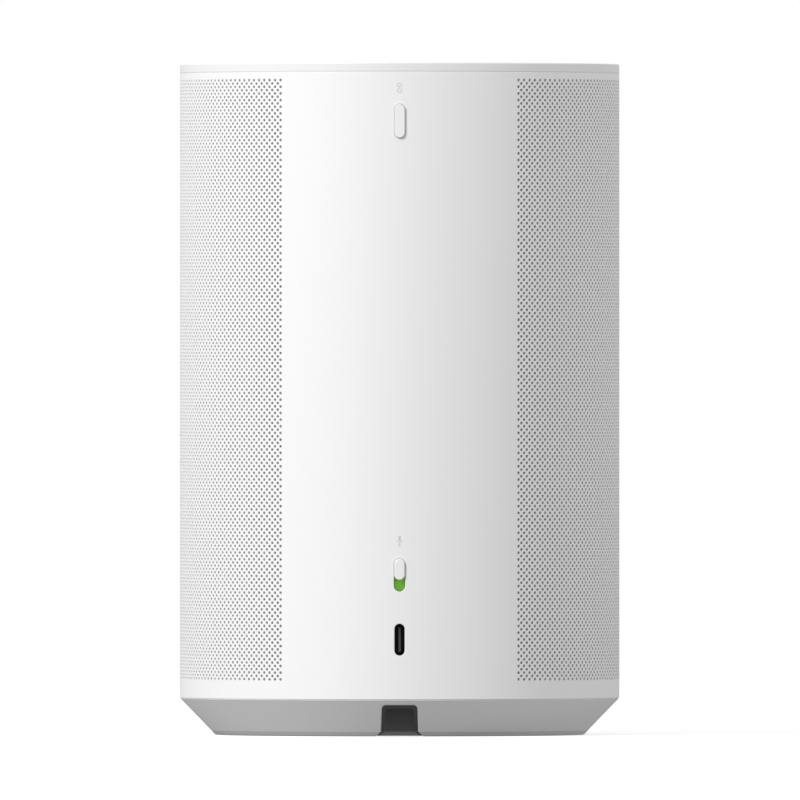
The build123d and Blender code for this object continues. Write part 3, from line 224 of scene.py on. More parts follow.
# %% [markdown]
# ## Helpers for finishes
#
# A finish is a material made of nodes. Its maths reads like ordinary sums, because `Varying`
# wraps a node's output and turns `+`, `-`, `*` and `/` into Math nodes. Everything else comes
# from one method, `add`, which takes a node's type, its settings and what its sockets get. What
# is the same all over the surface is set on the shader itself.

# %% Node helpers
class Varying:
    """A number that changes from place to place. Sums with it add Math nodes."""

    def __init__(self, sheet, socket):
        self.sheet = sheet
        self.socket = socket

    def sum(self, operation, *terms):
        return self.sheet.add("ShaderNodeMath", {"operation": operation}, dict(enumerate(terms)))

    def __add__(self, other):
        return self.sum("ADD", self, other)

    def __sub__(self, other):
        return self.sum("SUBTRACT", self, other)

    def __rsub__(self, other):
        return self.sum("SUBTRACT", other, self)

    def __mul__(self, other):
        return self.sum("MULTIPLY", self, other)

    def __truediv__(self, other):
        return self.sum("DIVIDE", self, other)

    __radd__ = __add__
    __rmul__ = __mul__

    def absolute(self):
        return self.sum("ABSOLUTE", self)

    def sine(self):
        return self.sum("SINE", self)

    def cosine(self):
        return self.sum("COSINE", self)

    def least(self, other):
        return self.sum("MINIMUM", self, other)

    def most(self, other):
        return self.sum("MAXIMUM", self, other)

    def above(self, other):
        return self.sum("GREATER_THAN", self, other)


class Sheet:
    """A node tree, to which every node is added in the same way."""

    def __init__(self, tree):
        self.tree = tree

    def add(self, kind, settings=None, sockets=None, output=0):
        node = self.tree.nodes.new(kind)
        for name, value in (settings or {}).items():
            setattr(node, name, value)
        for name, value in (sockets or {}).items():
            socket = node.inputs[name]
            if isinstance(value, Varying):
                self.tree.links.new(value.socket, socket)
            else:
                socket.default_value = value
        return Varying(self, node.outputs[output])


class Finish(Sheet):
    """A material with one main shader. What it is given is the same all over."""

    made = {}

    def __init__(self, name, constant=None):
        self.material = bpy.data.materials.new(name)
        self.material.use_nodes = True
        super().__init__(self.material.node_tree)
        self.shader = self.tree.nodes["Principled BSDF"]
        for socket, value in (constant or {}).items():
            self.shader.inputs[socket].default_value = value
        self.place = self.add("ShaderNodeTexCoord", output="Object")
        Finish.made[name] = self.material

    def drive(self, socket, value):
        self.tree.links.new(value.socket, self.shader.inputs[socket])

    def noise(self, scale, detail=2.0, stretch=(1, 1, 1)):
        """Cloudy noise with this many features to the metre, stretched along an axis."""
        where = self.add("ShaderNodeMapping", {}, {"Vector": self.place, "Scale": stretch})
        return self.add(
            "ShaderNodeTexNoise", {}, {"Vector": where, "Scale": scale, "Detail": detail}
        )

    def axis(self, name):
        """One coordinate of the surface in millimetres."""
        split = self.add("ShaderNodeSeparateXYZ", {}, {0: self.place}, name)
        return split * (1 / MM)

    def blend(self, factor, dark, light):
        """A colour between two colours."""
        colours = {"Factor": factor, 6: (*dark, 1), 7: (*light, 1)}
        return self.add("ShaderNodeMix", {"data_type": "RGBA"}, colours, 2)

    def emboss(self, height, strength, depth):
        """Raises the surface by height times depth, in millimetres."""
        bump = self.add(
            "ShaderNodeBump", {}, {"Height": height, "Strength": strength, "Distance": depth * MM}
        )
        self.drive("Normal", bump)


def shades(colour, spread):
    """A darker and a lighter version of a colour."""
    return [tuple(min(part * factor, 1) for part in colour) for factor in (1 - spread, 1 + spread)]


# %% [markdown]
# ## The plastics
#
# The shell is moulded in a white, satin plastic. A real moulding is never one flat value: its
# tool leaves a very fine grain, and the gloss changes slightly where it has been handled. Noise
# at three sizes gives that: a fine one raises the grain, a middle one shifts the roughness, and
# a large one shifts the colour by less than one part in a hundred.

# %% Moulded plastics
def moulded(name, colour, roughness, grain=0.006, spread=0.006, constant=None):
    """A plastic with a moulded grain. Grain is its height in millimetres."""
    finish = Finish(name, constant)
    broad = finish.noise(14.0)
    finish.drive("Base Color", finish.blend(broad, *shades(colour, spread)))
    handled = finish.noise(60.0, 3.0)
    finish.drive("Roughness", roughness - 0.03 + 0.06 * handled)
    finish.emboss(finish.noise(2600.0, 2.0), 0.6, grain)


WHITE = (0.80, 0.80, 0.80)
moulded("shell_white", WHITE, 0.46)
# The touch panel is the shell's own white plastic, painted a shade darker as painted shade,
# because the top takes more light than the sides.
moulded("touch_white", (0.75, 0.75, 0.75), 0.42, grain=0.003)
moulded("control_white", WHITE, 0.40, grain=0.003)
moulded("inner_black", (0.018, 0.018, 0.018), 0.5, spread=0.1)
# The switch's flag is its own green, painted lighter as painted light, because it sits in the
# shade of its slot.
moulded("flag_green", (0.36, 0.92, 0.08), 0.45, spread=0.03)
moulded("chip_black", (0.02, 0.02, 0.021), 0.55, grain=0.004, spread=0.15)
moulded("foot_grey", (0.62, 0.62, 0.62), 0.8, grain=0.02, spread=0.05)
moulded("tongue_grey", (0.15, 0.15, 0.15), 0.5, spread=0.05)
moulded("surround_rubber", (0.02, 0.02, 0.02), 0.6, grain=0.004, spread=0.1)
moulded("wire_red", (0.45, 0.02, 0.02), 0.4, grain=0.004, spread=0.05)
moulded("ink_grey", (0.56, 0.56, 0.56), 0.6, grain=0.002, spread=0.02)
moulded("light_pipe", (0.92, 0.93, 0.95), 0.12, grain=0.001, constant={"IOR": 1.49})

# Painted light and shade: the liner is painted lighter deep inside, where the channel lies in
# shade, and darker near its opening, where light reaches it, so that the channel reads as one even
# dark opening.
MOUTH_START = 52.0
MOUTH_RISE = 0.2
liner = Finish("liner_dark", {"Roughness": 0.6})
painted_shade_mask = ((liner.axis("Y") - MOUTH_START) * MOUTH_RISE).most(0.0).least(1.0)
liner.drive("Base Color", liner.blend(painted_shade_mask, (0.28, 0.28, 0.28), (0.058, 0.058, 0.058)))
liner.emboss(liner.noise(2600.0, 2.0), 0.6, 0.01)
print(len(Finish.made), "plastics")

# %% [markdown]
# ## Cloth, paper and foam
#
# Woven cloth is two sets of threads that pass over and under each other. The product of two
# sine waves, one for each direction, has the same checkered rise and fall, so it can raise the
# surface and darken the gaps. Paper pulp is fibres, so a stretched noise is closer. Foam is
# pores, which a Voronoi pattern gives.

# %% Cloth, paper and foam
def woven(name, colour, pitch, roughness=0.85):
    """A cloth whose threads are this many millimetres apart."""
    finish = Finish(name)
    wave = 2 * pi / pitch
    across = ((finish.axis("X") + finish.axis("Y")) * wave).sine()
    along = ((finish.axis("Z") + finish.axis("Y") * 0.5) * wave).sine()
    weave = across * along * 0.5 + 0.5
    finish.drive("Base Color", finish.blend(weave, *shades(colour, 0.45)))
    finish.drive("Roughness", roughness + 0.1 * finish.noise(900.0))
    finish.emboss(weave, 0.7, pitch / 5)


def fibrous(name, colour, scale, roughness):
    """Pressed pulp, with fibres that lie every way."""
    finish = Finish(name)
    lengthwise = finish.noise(scale, 5.0, (1, 0.25, 1))
    crosswise = finish.noise(scale, 5.0, (0.3, 1, 0.4))
    fibres = lengthwise * 0.5 + crosswise * 0.5
    finish.drive("Base Color", finish.blend(fibres, *shades(colour, 0.5)))
    finish.drive("Roughness", roughness - 0.1 + 0.2 * fibres)
    finish.emboss(fibres, 0.6, 0.06)


def porous(name, colour, pore):
    """Open-cell foam with pores of this size in millimetres."""
    finish = Finish(name)
    pores_to_metre = 1 / pore / MM
    cells = finish.add(
        "ShaderNodeTexVoronoi", {}, {"Vector": finish.place, "Scale": pores_to_metre}
    )
    finish.drive("Base Color", finish.blend(cells, *shades(colour, 0.6)))
    finish.drive("Roughness", 0.85 + 0.1 * cells)
    finish.emboss(cells, 0.8, pore / 4)


woven("scrim_dark", (0.045, 0.045, 0.045), 0.35)
woven("spider_cloth", (0.5, 0.36, 0.14), 0.7)
woven("dome_silk", (0.03, 0.03, 0.035), 0.25, 0.55)
fibrous("cone_black", (0.035, 0.035, 0.035), 500.0, 0.7)
porous("foam_grey", (0.13, 0.13, 0.13), 0.8)

# %% [markdown]
# ## Metals, boards and windings
#
# Brushed or turned metal has fine marks along one way, so its noise is stretched. A circuit
# board is a green varnish over copper: where a copper trace runs underneath, the green is
# lighter and stands a hair proud. Bands from sine waves, kept only where a slow noise is high,
# read as groups of traces. A winding is a row of wires, which a single sine wave gives.

# %% Metals, boards and windings
def metal(name, colour, roughness, stretch=(1, 1, 0.05), spread=0.08):
    """A metal with fine marks along one axis."""
    finish = Finish(name, {"Metallic": 1.0})
    marks = finish.noise(3000.0, 2.0, stretch)
    finish.drive("Base Color", finish.blend(marks, *shades(colour, spread)))
    finish.drive("Roughness", roughness - 0.08 + 0.16 * marks)
    finish.emboss(marks, 0.3, 0.01)


def board(name, colour):
    """Varnish over copper traces."""
    finish = Finish(name)
    bands = (finish.axis("X") * 5.2).sine().above(0.35) * finish.noise(90.0).above(0.52)
    rows = (finish.axis("Z") * 4.4).sine().above(0.35) * finish.noise(70.0).above(0.55)
    traces = bands.most(rows)
    lighter = tuple(part * 1.9 + 0.01 for part in colour)
    finish.drive("Base Color", finish.blend(traces, colour, lighter))
    finish.drive("Roughness", 0.34 - 0.06 * traces)
    finish.emboss(traces, 0.4, 0.03)


def wound(name, colour, pitch):
    """Wires side by side, this many millimetres apart."""
    finish = Finish(name, {"Metallic": 1.0})
    wires = (finish.axis("Y") * (2 * pi / pitch)).sine() * 0.5 + 0.5
    finish.drive("Base Color", finish.blend(wires, *shades(colour, 0.35)))
    finish.drive("Roughness", 0.3 + 0.15 * (1 - wires))
    finish.emboss(wires, 0.8, pitch / 4)


metal("steel", (0.52, 0.52, 0.53), 0.34)
metal("screw_black", (0.05, 0.05, 0.052), 0.42)
metal("brass", (0.72, 0.52, 0.24), 0.3)
metal("plated_pin", (0.78, 0.78, 0.79), 0.2)
metal("heat_sink", (0.66, 0.67, 0.69), 0.38, (1, 1, 0.03))
metal("ferrite", (0.06, 0.06, 0.062), 0.6, (1, 1, 1), 0.25)
board("board_green", (0.012, 0.085, 0.04))
wound("copper_wound", (0.72, 0.33, 0.14), 0.35)
wound("ribbon_amber", (0.55, 0.25, 0.04), 0.5)
print(len(Finish.made), "finishes")

# %% [markdown]
# ## The camera
#
# The speaker is seen squarely from behind, at the height of its middle, with hardly any
# perspective. A very long lens from nine metres away gives that, and the frame is then a little
# wider than the speaker is tall. The camera is made early, so every later step can be looked at.

# %% Camera
FRAME_WIDTH = 219.3
CAMERA_AWAY = 9000.0
CAMERA_SIDE = -0.11
CAMERA_DROP = 0.15
SENSOR = 36.0
lens = bpy.data.cameras.new("long_lens")
lens.sensor_width = SENSOR
lens.lens = SENSOR * CAMERA_AWAY / FRAME_WIDTH
lens.clip_end = 20.0
camera = bpy.data.objects.new("camera", lens)
camera.location = Vector((CAMERA_SIDE, CAMERA_AWAY, HEIGHT / 2 - CAMERA_DROP)) * MM
camera.rotation_euler = (pi / 2, 0, pi)
bpy.context.scene.collection.objects.link(camera)
bpy.context.scene.camera = camera
print("lens", round(lens.lens), "mm")

# %% [markdown]
# ## The grille: one hole
#
# The grille is about thirty thousand holes in a staggered pattern. One hole and the plastic
# round it is a small diamond with a hole in it, and diamonds fill a staggered pattern with no
# gaps. The diamond is a few dozen faces, because it is repeated so often: a ring of triangles at
# the front, the same at the back, and the wall of the hole.

# %% The diamond tile
HOLE_RADIUS = 0.41
HOLE_SIDES = 8
FIRST_COLUMN = 34.28
COLUMN_STEPS = 182
LOW_HOLE = 15.55
HIGH_HOLE = 178.8
ROWS = 91
across = (HALF_ROUND - FIRST_COLUMN) / COLUMN_STEPS
up = (HIGH_HOLE - LOW_HOLE) / (ROWS - 1) / 2


def diamond_tile():
    """One hole in its diamond of wall: flat, with the outer face at height 0."""
    corners = [(across, 0), (0, up), (-across, 0), (0, -up)]
    rim_radius = HOLE_RADIUS * sqrt(2 * pi / HOLE_SIDES / sin(2 * pi / HOLE_SIDES))
    rim = [
        (rim_radius * cos(2 * pi * i / HOLE_SIDES), rim_radius * sin(2 * pi * i / HOLE_SIDES))
        for i in range(HOLE_SIDES)
    ]
    flat = corners + rim
    faces = []
    for i in range(HOLE_SIDES):
        j = (i + 1) % HOLE_SIDES
        nearest = round((i + 0.5) / HOLE_SIDES * 4 - 0.01) % 4
        following = round((j + 0.5) / HOLE_SIDES * 4 - 0.01) % 4
        faces.append((nearest, 4 + j, 4 + i))
        if following != nearest:
            faces.append((nearest, following, 4 + j))
    work = bmesh.new()
    layers = []
    for depth in (0.0, -SLEEVE_WALL):
        layer = [work.verts.new(Vector((x, y, depth)) * MM) for x, y in flat]
        layers.append(layer)
    for face in faces:
        work.faces.new([layers[0][i] for i in face[::-1]])
        work.faces.new([layers[1][i] for i in face])
    for i in range(4, 4 + HOLE_SIDES):
        j = 4 + (i - 3) % HOLE_SIDES
        work.faces.new((layers[0][i], layers[0][j], layers[1][j], layers[1][i]))
    mesh = bpy.data.meshes.new("diamond_tile")
    work.to_mesh(mesh)
    work.free()
    return bpy.data.objects.new("diamond_tile", mesh)


tile = diamond_tile()
print("diamond", round(2 * across, 3), "by", round(2 * up, 3), "mm")
print(len(tile.data.polygons), "faces")

# %% [markdown]
# ## The grille: repeat and wrap
#
# Geometry Nodes repeat the diamond. Two grids of points, one for the even columns and one for
# the odd ones, carry a copy each. The copies become real mesh, shared corners are merged, and a
# Set Position node wraps the flat sheet on the body by the same rule as `on_body`, here
# written in nodes. The flat place is kept as a map first, because a sheet that is about to be
# bent is already unrolled. There are eight panels, so that none of them is too heavy.

# %% The grille's node tree
def grille_tree():
    """A tree that makes one panel of grille and wraps it on the body."""
    group = bpy.data.node_groups.new("grille_panel", "GeometryNodeTree")
    face = group.interface
    sheet = Sheet(group)
    face.new_socket("Geometry", in_out="OUTPUT", socket_type="NodeSocketGeometry")
    kinds = {
        "Tile": "NodeSocketObject",
        "Finish": "NodeSocketMaterial",
        "Even Columns": "NodeSocketInt",
        "Odd Columns": "NodeSocketInt",
        "Even Middle": "NodeSocketFloat",
        "Odd Middle": "NodeSocketFloat",
        "Rows": "NodeSocketInt",
        "Height Middle": "NodeSocketFloat",
        "Across": "NodeSocketFloat",
        "Up": "NodeSocketFloat",
        "Radius": "NodeSocketFloat",
        "Straight": "NodeSocketFloat",
        "Chart Middle": "NodeSocketFloat",
        "Chart Width": "NodeSocketFloat",
        "Chart Height": "NodeSocketFloat",
    }
    for name, kind in kinds.items():
        face.new_socket(name, in_out="INPUT", socket_type=kind)
    source = group.nodes.new("NodeGroupInput")
    given = {name: Varying(sheet, source.outputs[name]) for name in kinds}

    def grid(columns, rows, middle):
        size = {
            "Size X": (given[columns] - 1) * given["Across"] * 2,
            "Size Y": (rows - 1) * given["Up"] * 2,
            "Vertices X": given[columns],
            "Vertices Y": rows,
        }
        points = sheet.add("GeometryNodeMeshGrid", {}, size)
        centre = sheet.add(
            "ShaderNodeCombineXYZ", {}, {"X": given[middle], "Y": given["Height Middle"]}
        )
        return sheet.add("GeometryNodeTransform", {}, {"Geometry": points, "Translation": centre})

    even = grid("Even Columns", given["Rows"], "Even Middle")
    odd = grid("Odd Columns", given["Rows"] - 1, "Odd Middle")
    joined = group.nodes.new("GeometryNodeJoinGeometry")
    for points in (odd, even):
        group.links.new(points.socket, joined.inputs[0])
    shape = sheet.add("GeometryNodeObjectInfo", {}, {"Object": given["Tile"]}, "Geometry")
    copies = sheet.add(
        "GeometryNodeInstanceOnPoints",
        {},
        {"Points": Varying(sheet, joined.outputs[0]), "Instance": shape},
    )
    real = sheet.add("GeometryNodeRealizeInstances", {}, {"Geometry": copies})
    welded = sheet.add("GeometryNodeMergeByDistance", {}, {"Geometry": real, "Distance": 3e-6})

    position = sheet.add("GeometryNodeInputPosition")
    flat = {name: sheet.add("ShaderNodeSeparateXYZ", {}, {0: position}, name) for name in "XYZ"}
    far = flat["X"].absolute()
    side = flat["X"].sum("SIGN", flat["X"])
    quarter = given["Radius"] * (pi / 2)
    past = (far - quarter - given["Straight"]).most(0)
    turn = (far.least(quarter) + past) / given["Radius"]
    slid = (far - quarter).most(0).least(given["Straight"])
    reach = given["Radius"] + flat["Z"]
    wrapped = sheet.add(
        "ShaderNodeCombineXYZ",
        {},
        {
            "X": side * reach * turn.sine(),
            "Y": given["Straight"] * 0.5 - slid + reach * turn.cosine(),
            "Z": flat["Y"],
        },
    )
    unrolled = sheet.add(
        "ShaderNodeCombineXYZ",
        {},
        {
            "X": (flat["X"] - given["Chart Middle"]) / given["Chart Width"] + 0.5,
            "Y": flat["Y"] / given["Chart Height"],
        },
    )
    charted = sheet.add(
        "GeometryNodeStoreNamedAttribute",
        {"data_type": "FLOAT2", "domain": "CORNER"},
        {"Geometry": welded, "Name": "OFBake", "Value": unrolled},
    )
    bent = sheet.add("GeometryNodeSetPosition", {}, {"Geometry": charted, "Position": wrapped})
    painted = sheet.add(
        "GeometryNodeSetMaterial", {}, {"Geometry": bent, "Material": given["Finish"]}
    )
    sink = group.nodes.new("NodeGroupOutput")
    group.links.new(painted.socket, sink.inputs[0])
    return group


grille = grille_tree()
print(len(grille.nodes), "nodes in the grille's tree")

# %% The eight panels
PANELS = 8


def grille_panel(number, first, last):
    """The panel with these columns. Column 0 is beside the strip, on the +X side."""
    evens = [k for k in range(first, last + 1) if k % 2 == 0]
    odds = [k for k in range(first, last + 1) if k % 2]
    once_round = 2 * HALF_ROUND if first > COLUMN_STEPS else 0.0

    def middle(columns):
        return (FIRST_COLUMN + (columns[0] + columns[-1]) / 2 * across - once_round) * MM

    settings = {
        "Tile": tile,
        "Finish": Finish.made["shell_white"],
        "Even Columns": len(evens),
        "Odd Columns": len(odds),
        "Even Middle": middle(evens),
        "Odd Middle": middle(odds),
        "Rows": ROWS,
        "Height Middle": (LOW_HOLE + HIGH_HOLE) / 2 * MM,
        "Across": across * MM,
        "Up": up * MM,
        "Radius": HALF_WIDTH * MM,
        "Straight": STRAIGHT * MM,
        "Chart Middle": middle([first, last]),
        "Chart Width": (last - first + 3) * across * MM,
        "Chart Height": HEIGHT * MM,
    }
    name = f"grille_panel_{number}"
    maker = bpy.data.objects.new(name + "_maker", bpy.data.meshes.new(name + "_maker"))
    bpy.context.scene.collection.objects.link(maker)
    modifier = maker.modifiers.new("grille", "NODES")
    modifier.node_group = grille
    for item in grille.interface.items_tree:
        if item.in_out == "INPUT":
            modifier[item.identifier] = settings[item.name]
    return maker


print("panels to make:", PANELS)

# %% [markdown]
# A modifier's inputs are set by their identifiers before it is first worked out. The evaluated
# object is then turned into a plain mesh, and the modifier goes, so that each panel is an
# ordinary piece. The panel's front and back sheets end in two loops of edges, and a bridge
# between the loops closes it all round.

# %% Turn the panels into plain pieces
HOLE_SHARP_ANGLE = radians(60)


def plain_piece(maker, name, body="chassis"):
    """The evaluated mesh of a maker, closed at its border, as a piece. The maker goes."""
    depsgraph = bpy.context.evaluated_depsgraph_get()
    mesh = bpy.data.meshes.new_from_object(maker.evaluated_get(depsgraph))
    bpy.data.objects.remove(maker)
    mesh.name = name
    work = bmesh.new()
    work.from_mesh(mesh)
    border = [edge for edge in work.edges if edge.is_boundary]
    bmesh.ops.bridge_loops(work, edges=border)
    bmesh.ops.recalc_face_normals(work, faces=work.faces)
    if work.calc_volume(signed=True) < 0:
        bmesh.ops.reverse_faces(work, faces=work.faces)
    work.to_mesh(mesh)
    work.free()
    mesh.shade_smooth()
    mesh.set_sharp_from_angle(angle=HOLE_SHARP_ANGLE)
    piece = bpy.data.objects.new(name, mesh)
    bpy.context.scene.collection.objects.link(piece)
    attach(piece, body)
    return piece


columns = 2 * COLUMN_STEPS + 1
cuts = [round(columns * i / PANELS) for i in range(PANELS + 1)]
holes = 0
for number, (first, following) in enumerate(zip(cuts, cuts[1:]), 1):
    panel = plain_piece(grille_panel(number, first, following - 1), f"grille_panel_{number}")
    holes += sum(ROWS - k % 2 for k in range(first, following))
    triangles = sum(len(face.vertices) - 2 for face in panel.data.polygons)
    print(panel.name, triangles, "triangles, open", open_edges(panel))
bpy.data.objects.remove(tile)
print(holes, "holes")

# %% [markdown]
# ## The smooth part of the sleeve
#
# The strip down the rear, the narrow band under the touch panel and the band above the base are
# the same moulding as the grille, so they meet the diamonds corner for corner along a zigzag.
# The outline is drawn flat, filled with triangles and wrapped. The button, the switch and the
# socket sit in slots whose edges roll over slightly, as a moulded slot's do. Collars of extra
# points round each slot keep the triangles there small and even.

# %% The zigzag outline and the slots
BUTTON_Z = 167.6
BUTTON_LENGTH = 9.2
BUTTON_SLOT_WIDTH = 3.0
SWITCH_Z = 44.0
SWITCH_LENGTH = 9.0
SWITCH_WIDTH = 3.1
USB_Z = 26.4
USB_LENGTH = 8.7
USB_WIDTH = 2.85
BUTTON_GAP = 0.08
RIM_ROLL = 0.12
HOLD = 0.08
SLOT_LIP = 0.14
COLLARS = (0.9, 1.8)
COLLAR_CLEAR = 2.6
STRIP_STEPS = 19
GRID_ROWS = 60

column_s = [FIRST_COLUMN + k * across for k in range(COLUMN_STEPS + 1)]
low_edge = [(s, LOW_HOLE - up * (1 - k % 2)) for k, s in enumerate(column_s)]
high_edge = [(s, HIGH_HOLE + up * (1 - k % 2)) for k, s in enumerate(column_s)]
side_edge = []
for row in range(ROWS):
    height = LOW_HOLE + 2 * up * row
    side_edge.append((FIRST_COLUMN - across, height))
    if row < ROWS - 1:
        side_edge.append((FIRST_COLUMN, height + up))

low_rim = SLEEVE_BOTTOM + RIM_ROLL + HOLD
high_rim = SLEEVE_TOP - RIM_ROLL - HOLD
strip_s = [FIRST_COLUMN * i / STRIP_STEPS for i in range(1 - STRIP_STEPS, STRIP_STEPS)]
rim_s = [-s for s in column_s[::-1]] + strip_s + column_s
field_edge = low_edge[::-1] + side_edge + high_edge
mirrored = [(-s, z) for s, z in field_edge]
outline = (
    [(s, low_rim) for s in rim_s]
    + field_edge
    + [(s, high_rim) for s in rim_s[::-1]]
    + mirrored[::-1]
)
slots = [
    (BUTTON_LENGTH + 2 * BUTTON_GAP, BUTTON_SLOT_WIDTH, BUTTON_Z),
    (SWITCH_LENGTH, SWITCH_WIDTH, SWITCH_Z),
    (USB_LENGTH, USB_WIDTH, USB_Z),
]
slot_steps = rolled(SLOT_LIP)
slot_holes = [pill(*slot, grow=slot_steps[0][0]) for slot in slots]
collars = [point for slot in slots for grow in COLLARS for point in pill(*slot, grow=grow)]


def clear_of_slots(point):
    """Whether a grid point is well outside every slot's collars."""
    return not any(inside(point, pill(*slot, grow=COLLAR_CLEAR)) for slot in slots)


grid_points = [
    (s, low_rim + (high_rim - low_rim) * i / GRID_ROWS)
    for s in strip_s
    for i in range(1, GRID_ROWS)
    if abs(s) < FIRST_COLUMN - 1.5 * across
]
grid_points = [point for point in grid_points if clear_of_slots(point)]
print(len(outline), "points round the outline,", len(grid_points), "inside")

# %% Wrap the smooth part
flat_points, sleeve_faces = fill_flat(outline, slot_holes, grid_points + collars)


def rim_ring(level, up_or_down):
    """Rings that roll round a rim of the sleeve, from its outer face to its inner one."""
    steps = rolled(RIM_ROLL, HOLD)
    outer = [(depth, level + up_or_down * (steps[0][0] - grow)) for grow, depth in steps]
    inner = [(SLEEVE_WALL - depth, z) for depth, z in outer[::-1]]
    around = rim_s[:-1]
    return [[on_body(s, inset, z) for s in around] for inset, z in outer + inner]


def slot_rings(slot):
    """Rings that line one slot, rolled over at the outer face and plain at the inner one."""
    rings = []
    for grow, depth in slot_steps + [(0.0, SLEEVE_WALL)]:
        rings.append([on_body(s, depth, z) for s, z in pill(*slot, grow=grow)])
    rings.append([on_body(s, SLEEVE_WALL, z) for s, z in pill(*slot, grow=slot_steps[0][0])])
    return rings


def zigzag_rings():
    """The wall of the zigzag, all round the field of holes."""
    loop = field_edge[::-1] + mirrored[1:-1]
    return [[on_body(s, inset, z) for s, z in loop] for inset in (0, SLEEVE_WALL)]


sleeve = solid(
    "sleeve_smooth",
    sleeve_faces,
    [on_body(s, 0, z) for s, z in flat_points],
    [on_body(s, SLEEVE_WALL, z) for s, z in flat_points],
    [rim_ring(low_rim, -1), rim_ring(high_rim, 1), zigzag_rings()]
    + [slot_rings(slot) for slot in slots],
)
sleeve.data.materials.append(Finish.made["shell_white"])
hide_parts("outer_sleeve")
report(sleeve)

# %% [markdown]
# ## The button
#
# The button is a pill that stands a little proud of the strip. Its face follows the body, and
# its edge rolls over a tenth of a millimetre, so it casts a thin clear shadow to one side.

# %% The button
BUTTON_PROUD = 0.6
BUTTON_ROLL = 0.14
BUTTON_DEPTH = 1.8
BUTTON_WIDTH = 2.84


def button_ring(inward, depth):
    """The button's outline, this far inside its edge and this far inside the strip's face."""
    outline = pill(BUTTON_LENGTH, BUTTON_WIDTH, BUTTON_Z, -inward)
    return [on_body(s, depth, z) for s, z in outline]


button_steps = rolled(BUTTON_ROLL)
button_edge = button_steps[0][0]
button_rings = [button_ring(inward, depth - BUTTON_PROUD) for inward, depth in button_steps]
button_rings += [button_ring(inward, BUTTON_DEPTH) for inward in (0.0, button_edge)]
button_points, button_faces = fill_flat(pill(BUTTON_LENGTH, BUTTON_WIDTH, BUTTON_Z, -button_edge))
button = solid(
    "button_face",
    button_faces,
    [on_body(s, -BUTTON_PROUD, z) for s, z in button_points],
    [on_body(s, BUTTON_DEPTH, z) for s, z in button_points],
    [button_rings],
    "button",
)
button.data.materials.append(Finish.made["control_white"])
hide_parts("pairing_button")
report(button)

# %% [markdown]
# ## The touch panel
#
# The top is one smooth panel with a shallow rounded groove, along which a finger slides to
# change the volume, four pinholes for microphones and two tiny lights. The same flat-drawing
# method makes it: the outline is the racetrack, the pinholes are holes in the drawing, and a
# height rule sinks the groove, with its edge softened so that light rolls into it.

# %% The touch panel's height rule
MARK_RISE = 0.03
PANEL_TOP = HEIGHT - MARK_RISE
TROUGH_Y = -31.0
TROUGH_HALF = 22.0
TROUGH_DEPTH = 1.2
TROUGH_REACH = 5.0
MIC_SPOTS = [(x, y) for x in (-34.0, 34.0) for y in (-30.0, 30.0)]
LIGHT_SPOTS = [(0.0, -47.0), (0.0, 45.0)]
MIC_RADIUS = 0.5
LIGHT_RADIUS = 0.75
CAP_EDGE = 0.35
CAP_FOOT_EDGE = 0.06
TONGUE_INSET = 0.07
HAIRLINE = 0.02


def trough(x, y):
    """How deep the volume groove is here: a rounded bar sunk into the panel."""
    beyond = max(abs(x) - (TROUGH_HALF - TROUGH_REACH), 0)
    off = sqrt(beyond**2 + (y - TROUGH_Y) ** 2) / TROUGH_REACH
    return TROUGH_DEPTH * (cos(pi * off) + 1) / 2 if off < 1 else 0.0


def ring_of(x, y, radius, steps=16):
    """A small circle of flat points."""
    turns = [2 * pi * i / steps for i in range(steps)]
    return [(x + radius * cos(turn), y + radius * sin(turn)) for turn in turns]


around_s = [2 * HALF_ROUND * i / 240 - HALF_ROUND for i in range(240)]


def racetrack(inset, z=0.0):
    """A level ring of points round the body."""
    return [on_body(s, inset, z) for s in around_s]


# %% The touch panel
edge_inset = CAP_EDGE + HOLD
panel_outline = [(point.x, point.y) for point in racetrack(edge_inset)]
pinholes = [ring_of(x, y, MIC_RADIUS) for x, y in MIC_SPOTS]
pinholes += [ring_of(x, y, LIGHT_RADIUS) for x, y in LIGHT_SPOTS]
groove_grid = [
    (-24.0 + 0.75 * i, TROUGH_Y - 6.0 + 0.5 * j) for i in range(65) for j in range(25)
]
coarse_grid = [
    (5.0 * i, 5.0 * j)
    for i in range(-11, 12)
    for j in range(-12, 13)
    if inside((5.0 * i, 5.0 * j), [(point.x, point.y) for point in racetrack(4.0)])
]
clear_grid = [
    (x, y)
    for x, y in coarse_grid
    if not (abs(x) < 25 and abs(y - TROUGH_Y) < 7)
    and all((x - a) ** 2 + (y - b) ** 2 > 2 for a, b in MIC_SPOTS + LIGHT_SPOTS)
]
panel_points, panel_faces = fill_flat(panel_outline, pinholes, groove_grid + clear_grid)


def cap_rings():
    """The rim of the panel: over its top edge, down its side, and a tongue behind the seam."""
    over = [(grow, PANEL_TOP - depth) for grow, depth in rolled(CAP_EDGE, HOLD)]
    tuck = rolled(CAP_FOOT_EDGE, TONGUE_INSET - CAP_FOOT_EDGE)
    under = [(grow, CAP_BOTTOM + depth) for grow, depth in tuck]
    tongue = SLEEVE_TOP + HAIRLINE
    side = [(0.0, over[-1][1] - HOLD), (0.0, under[-1][1] + HOLD)]
    steps = over + side + under[::-1] + [(TONGUE_INSET, tongue), (edge_inset, tongue)]
    return [racetrack(inset, z) for inset, z in steps + [(edge_inset, CAP_BOTTOM)]]


def pinhole_rings(loop):
    """The wall of a hole through the panel."""
    return [[Vector((x, y, z)) for x, y in loop] for z in (PANEL_TOP, CAP_BOTTOM)]


panel = solid(
    "touch_panel",
    panel_faces,
    [Vector((x, y, PANEL_TOP - trough(x, y))) for x, y in panel_points],
    [Vector((x, y, CAP_BOTTOM)) for x, y in panel_points],
    [cap_rings()] + [pinhole_rings(loop) for loop in pinholes],
)
panel.data.materials.append(Finish.made["touch_white"])
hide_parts("top_cap")
report(panel)

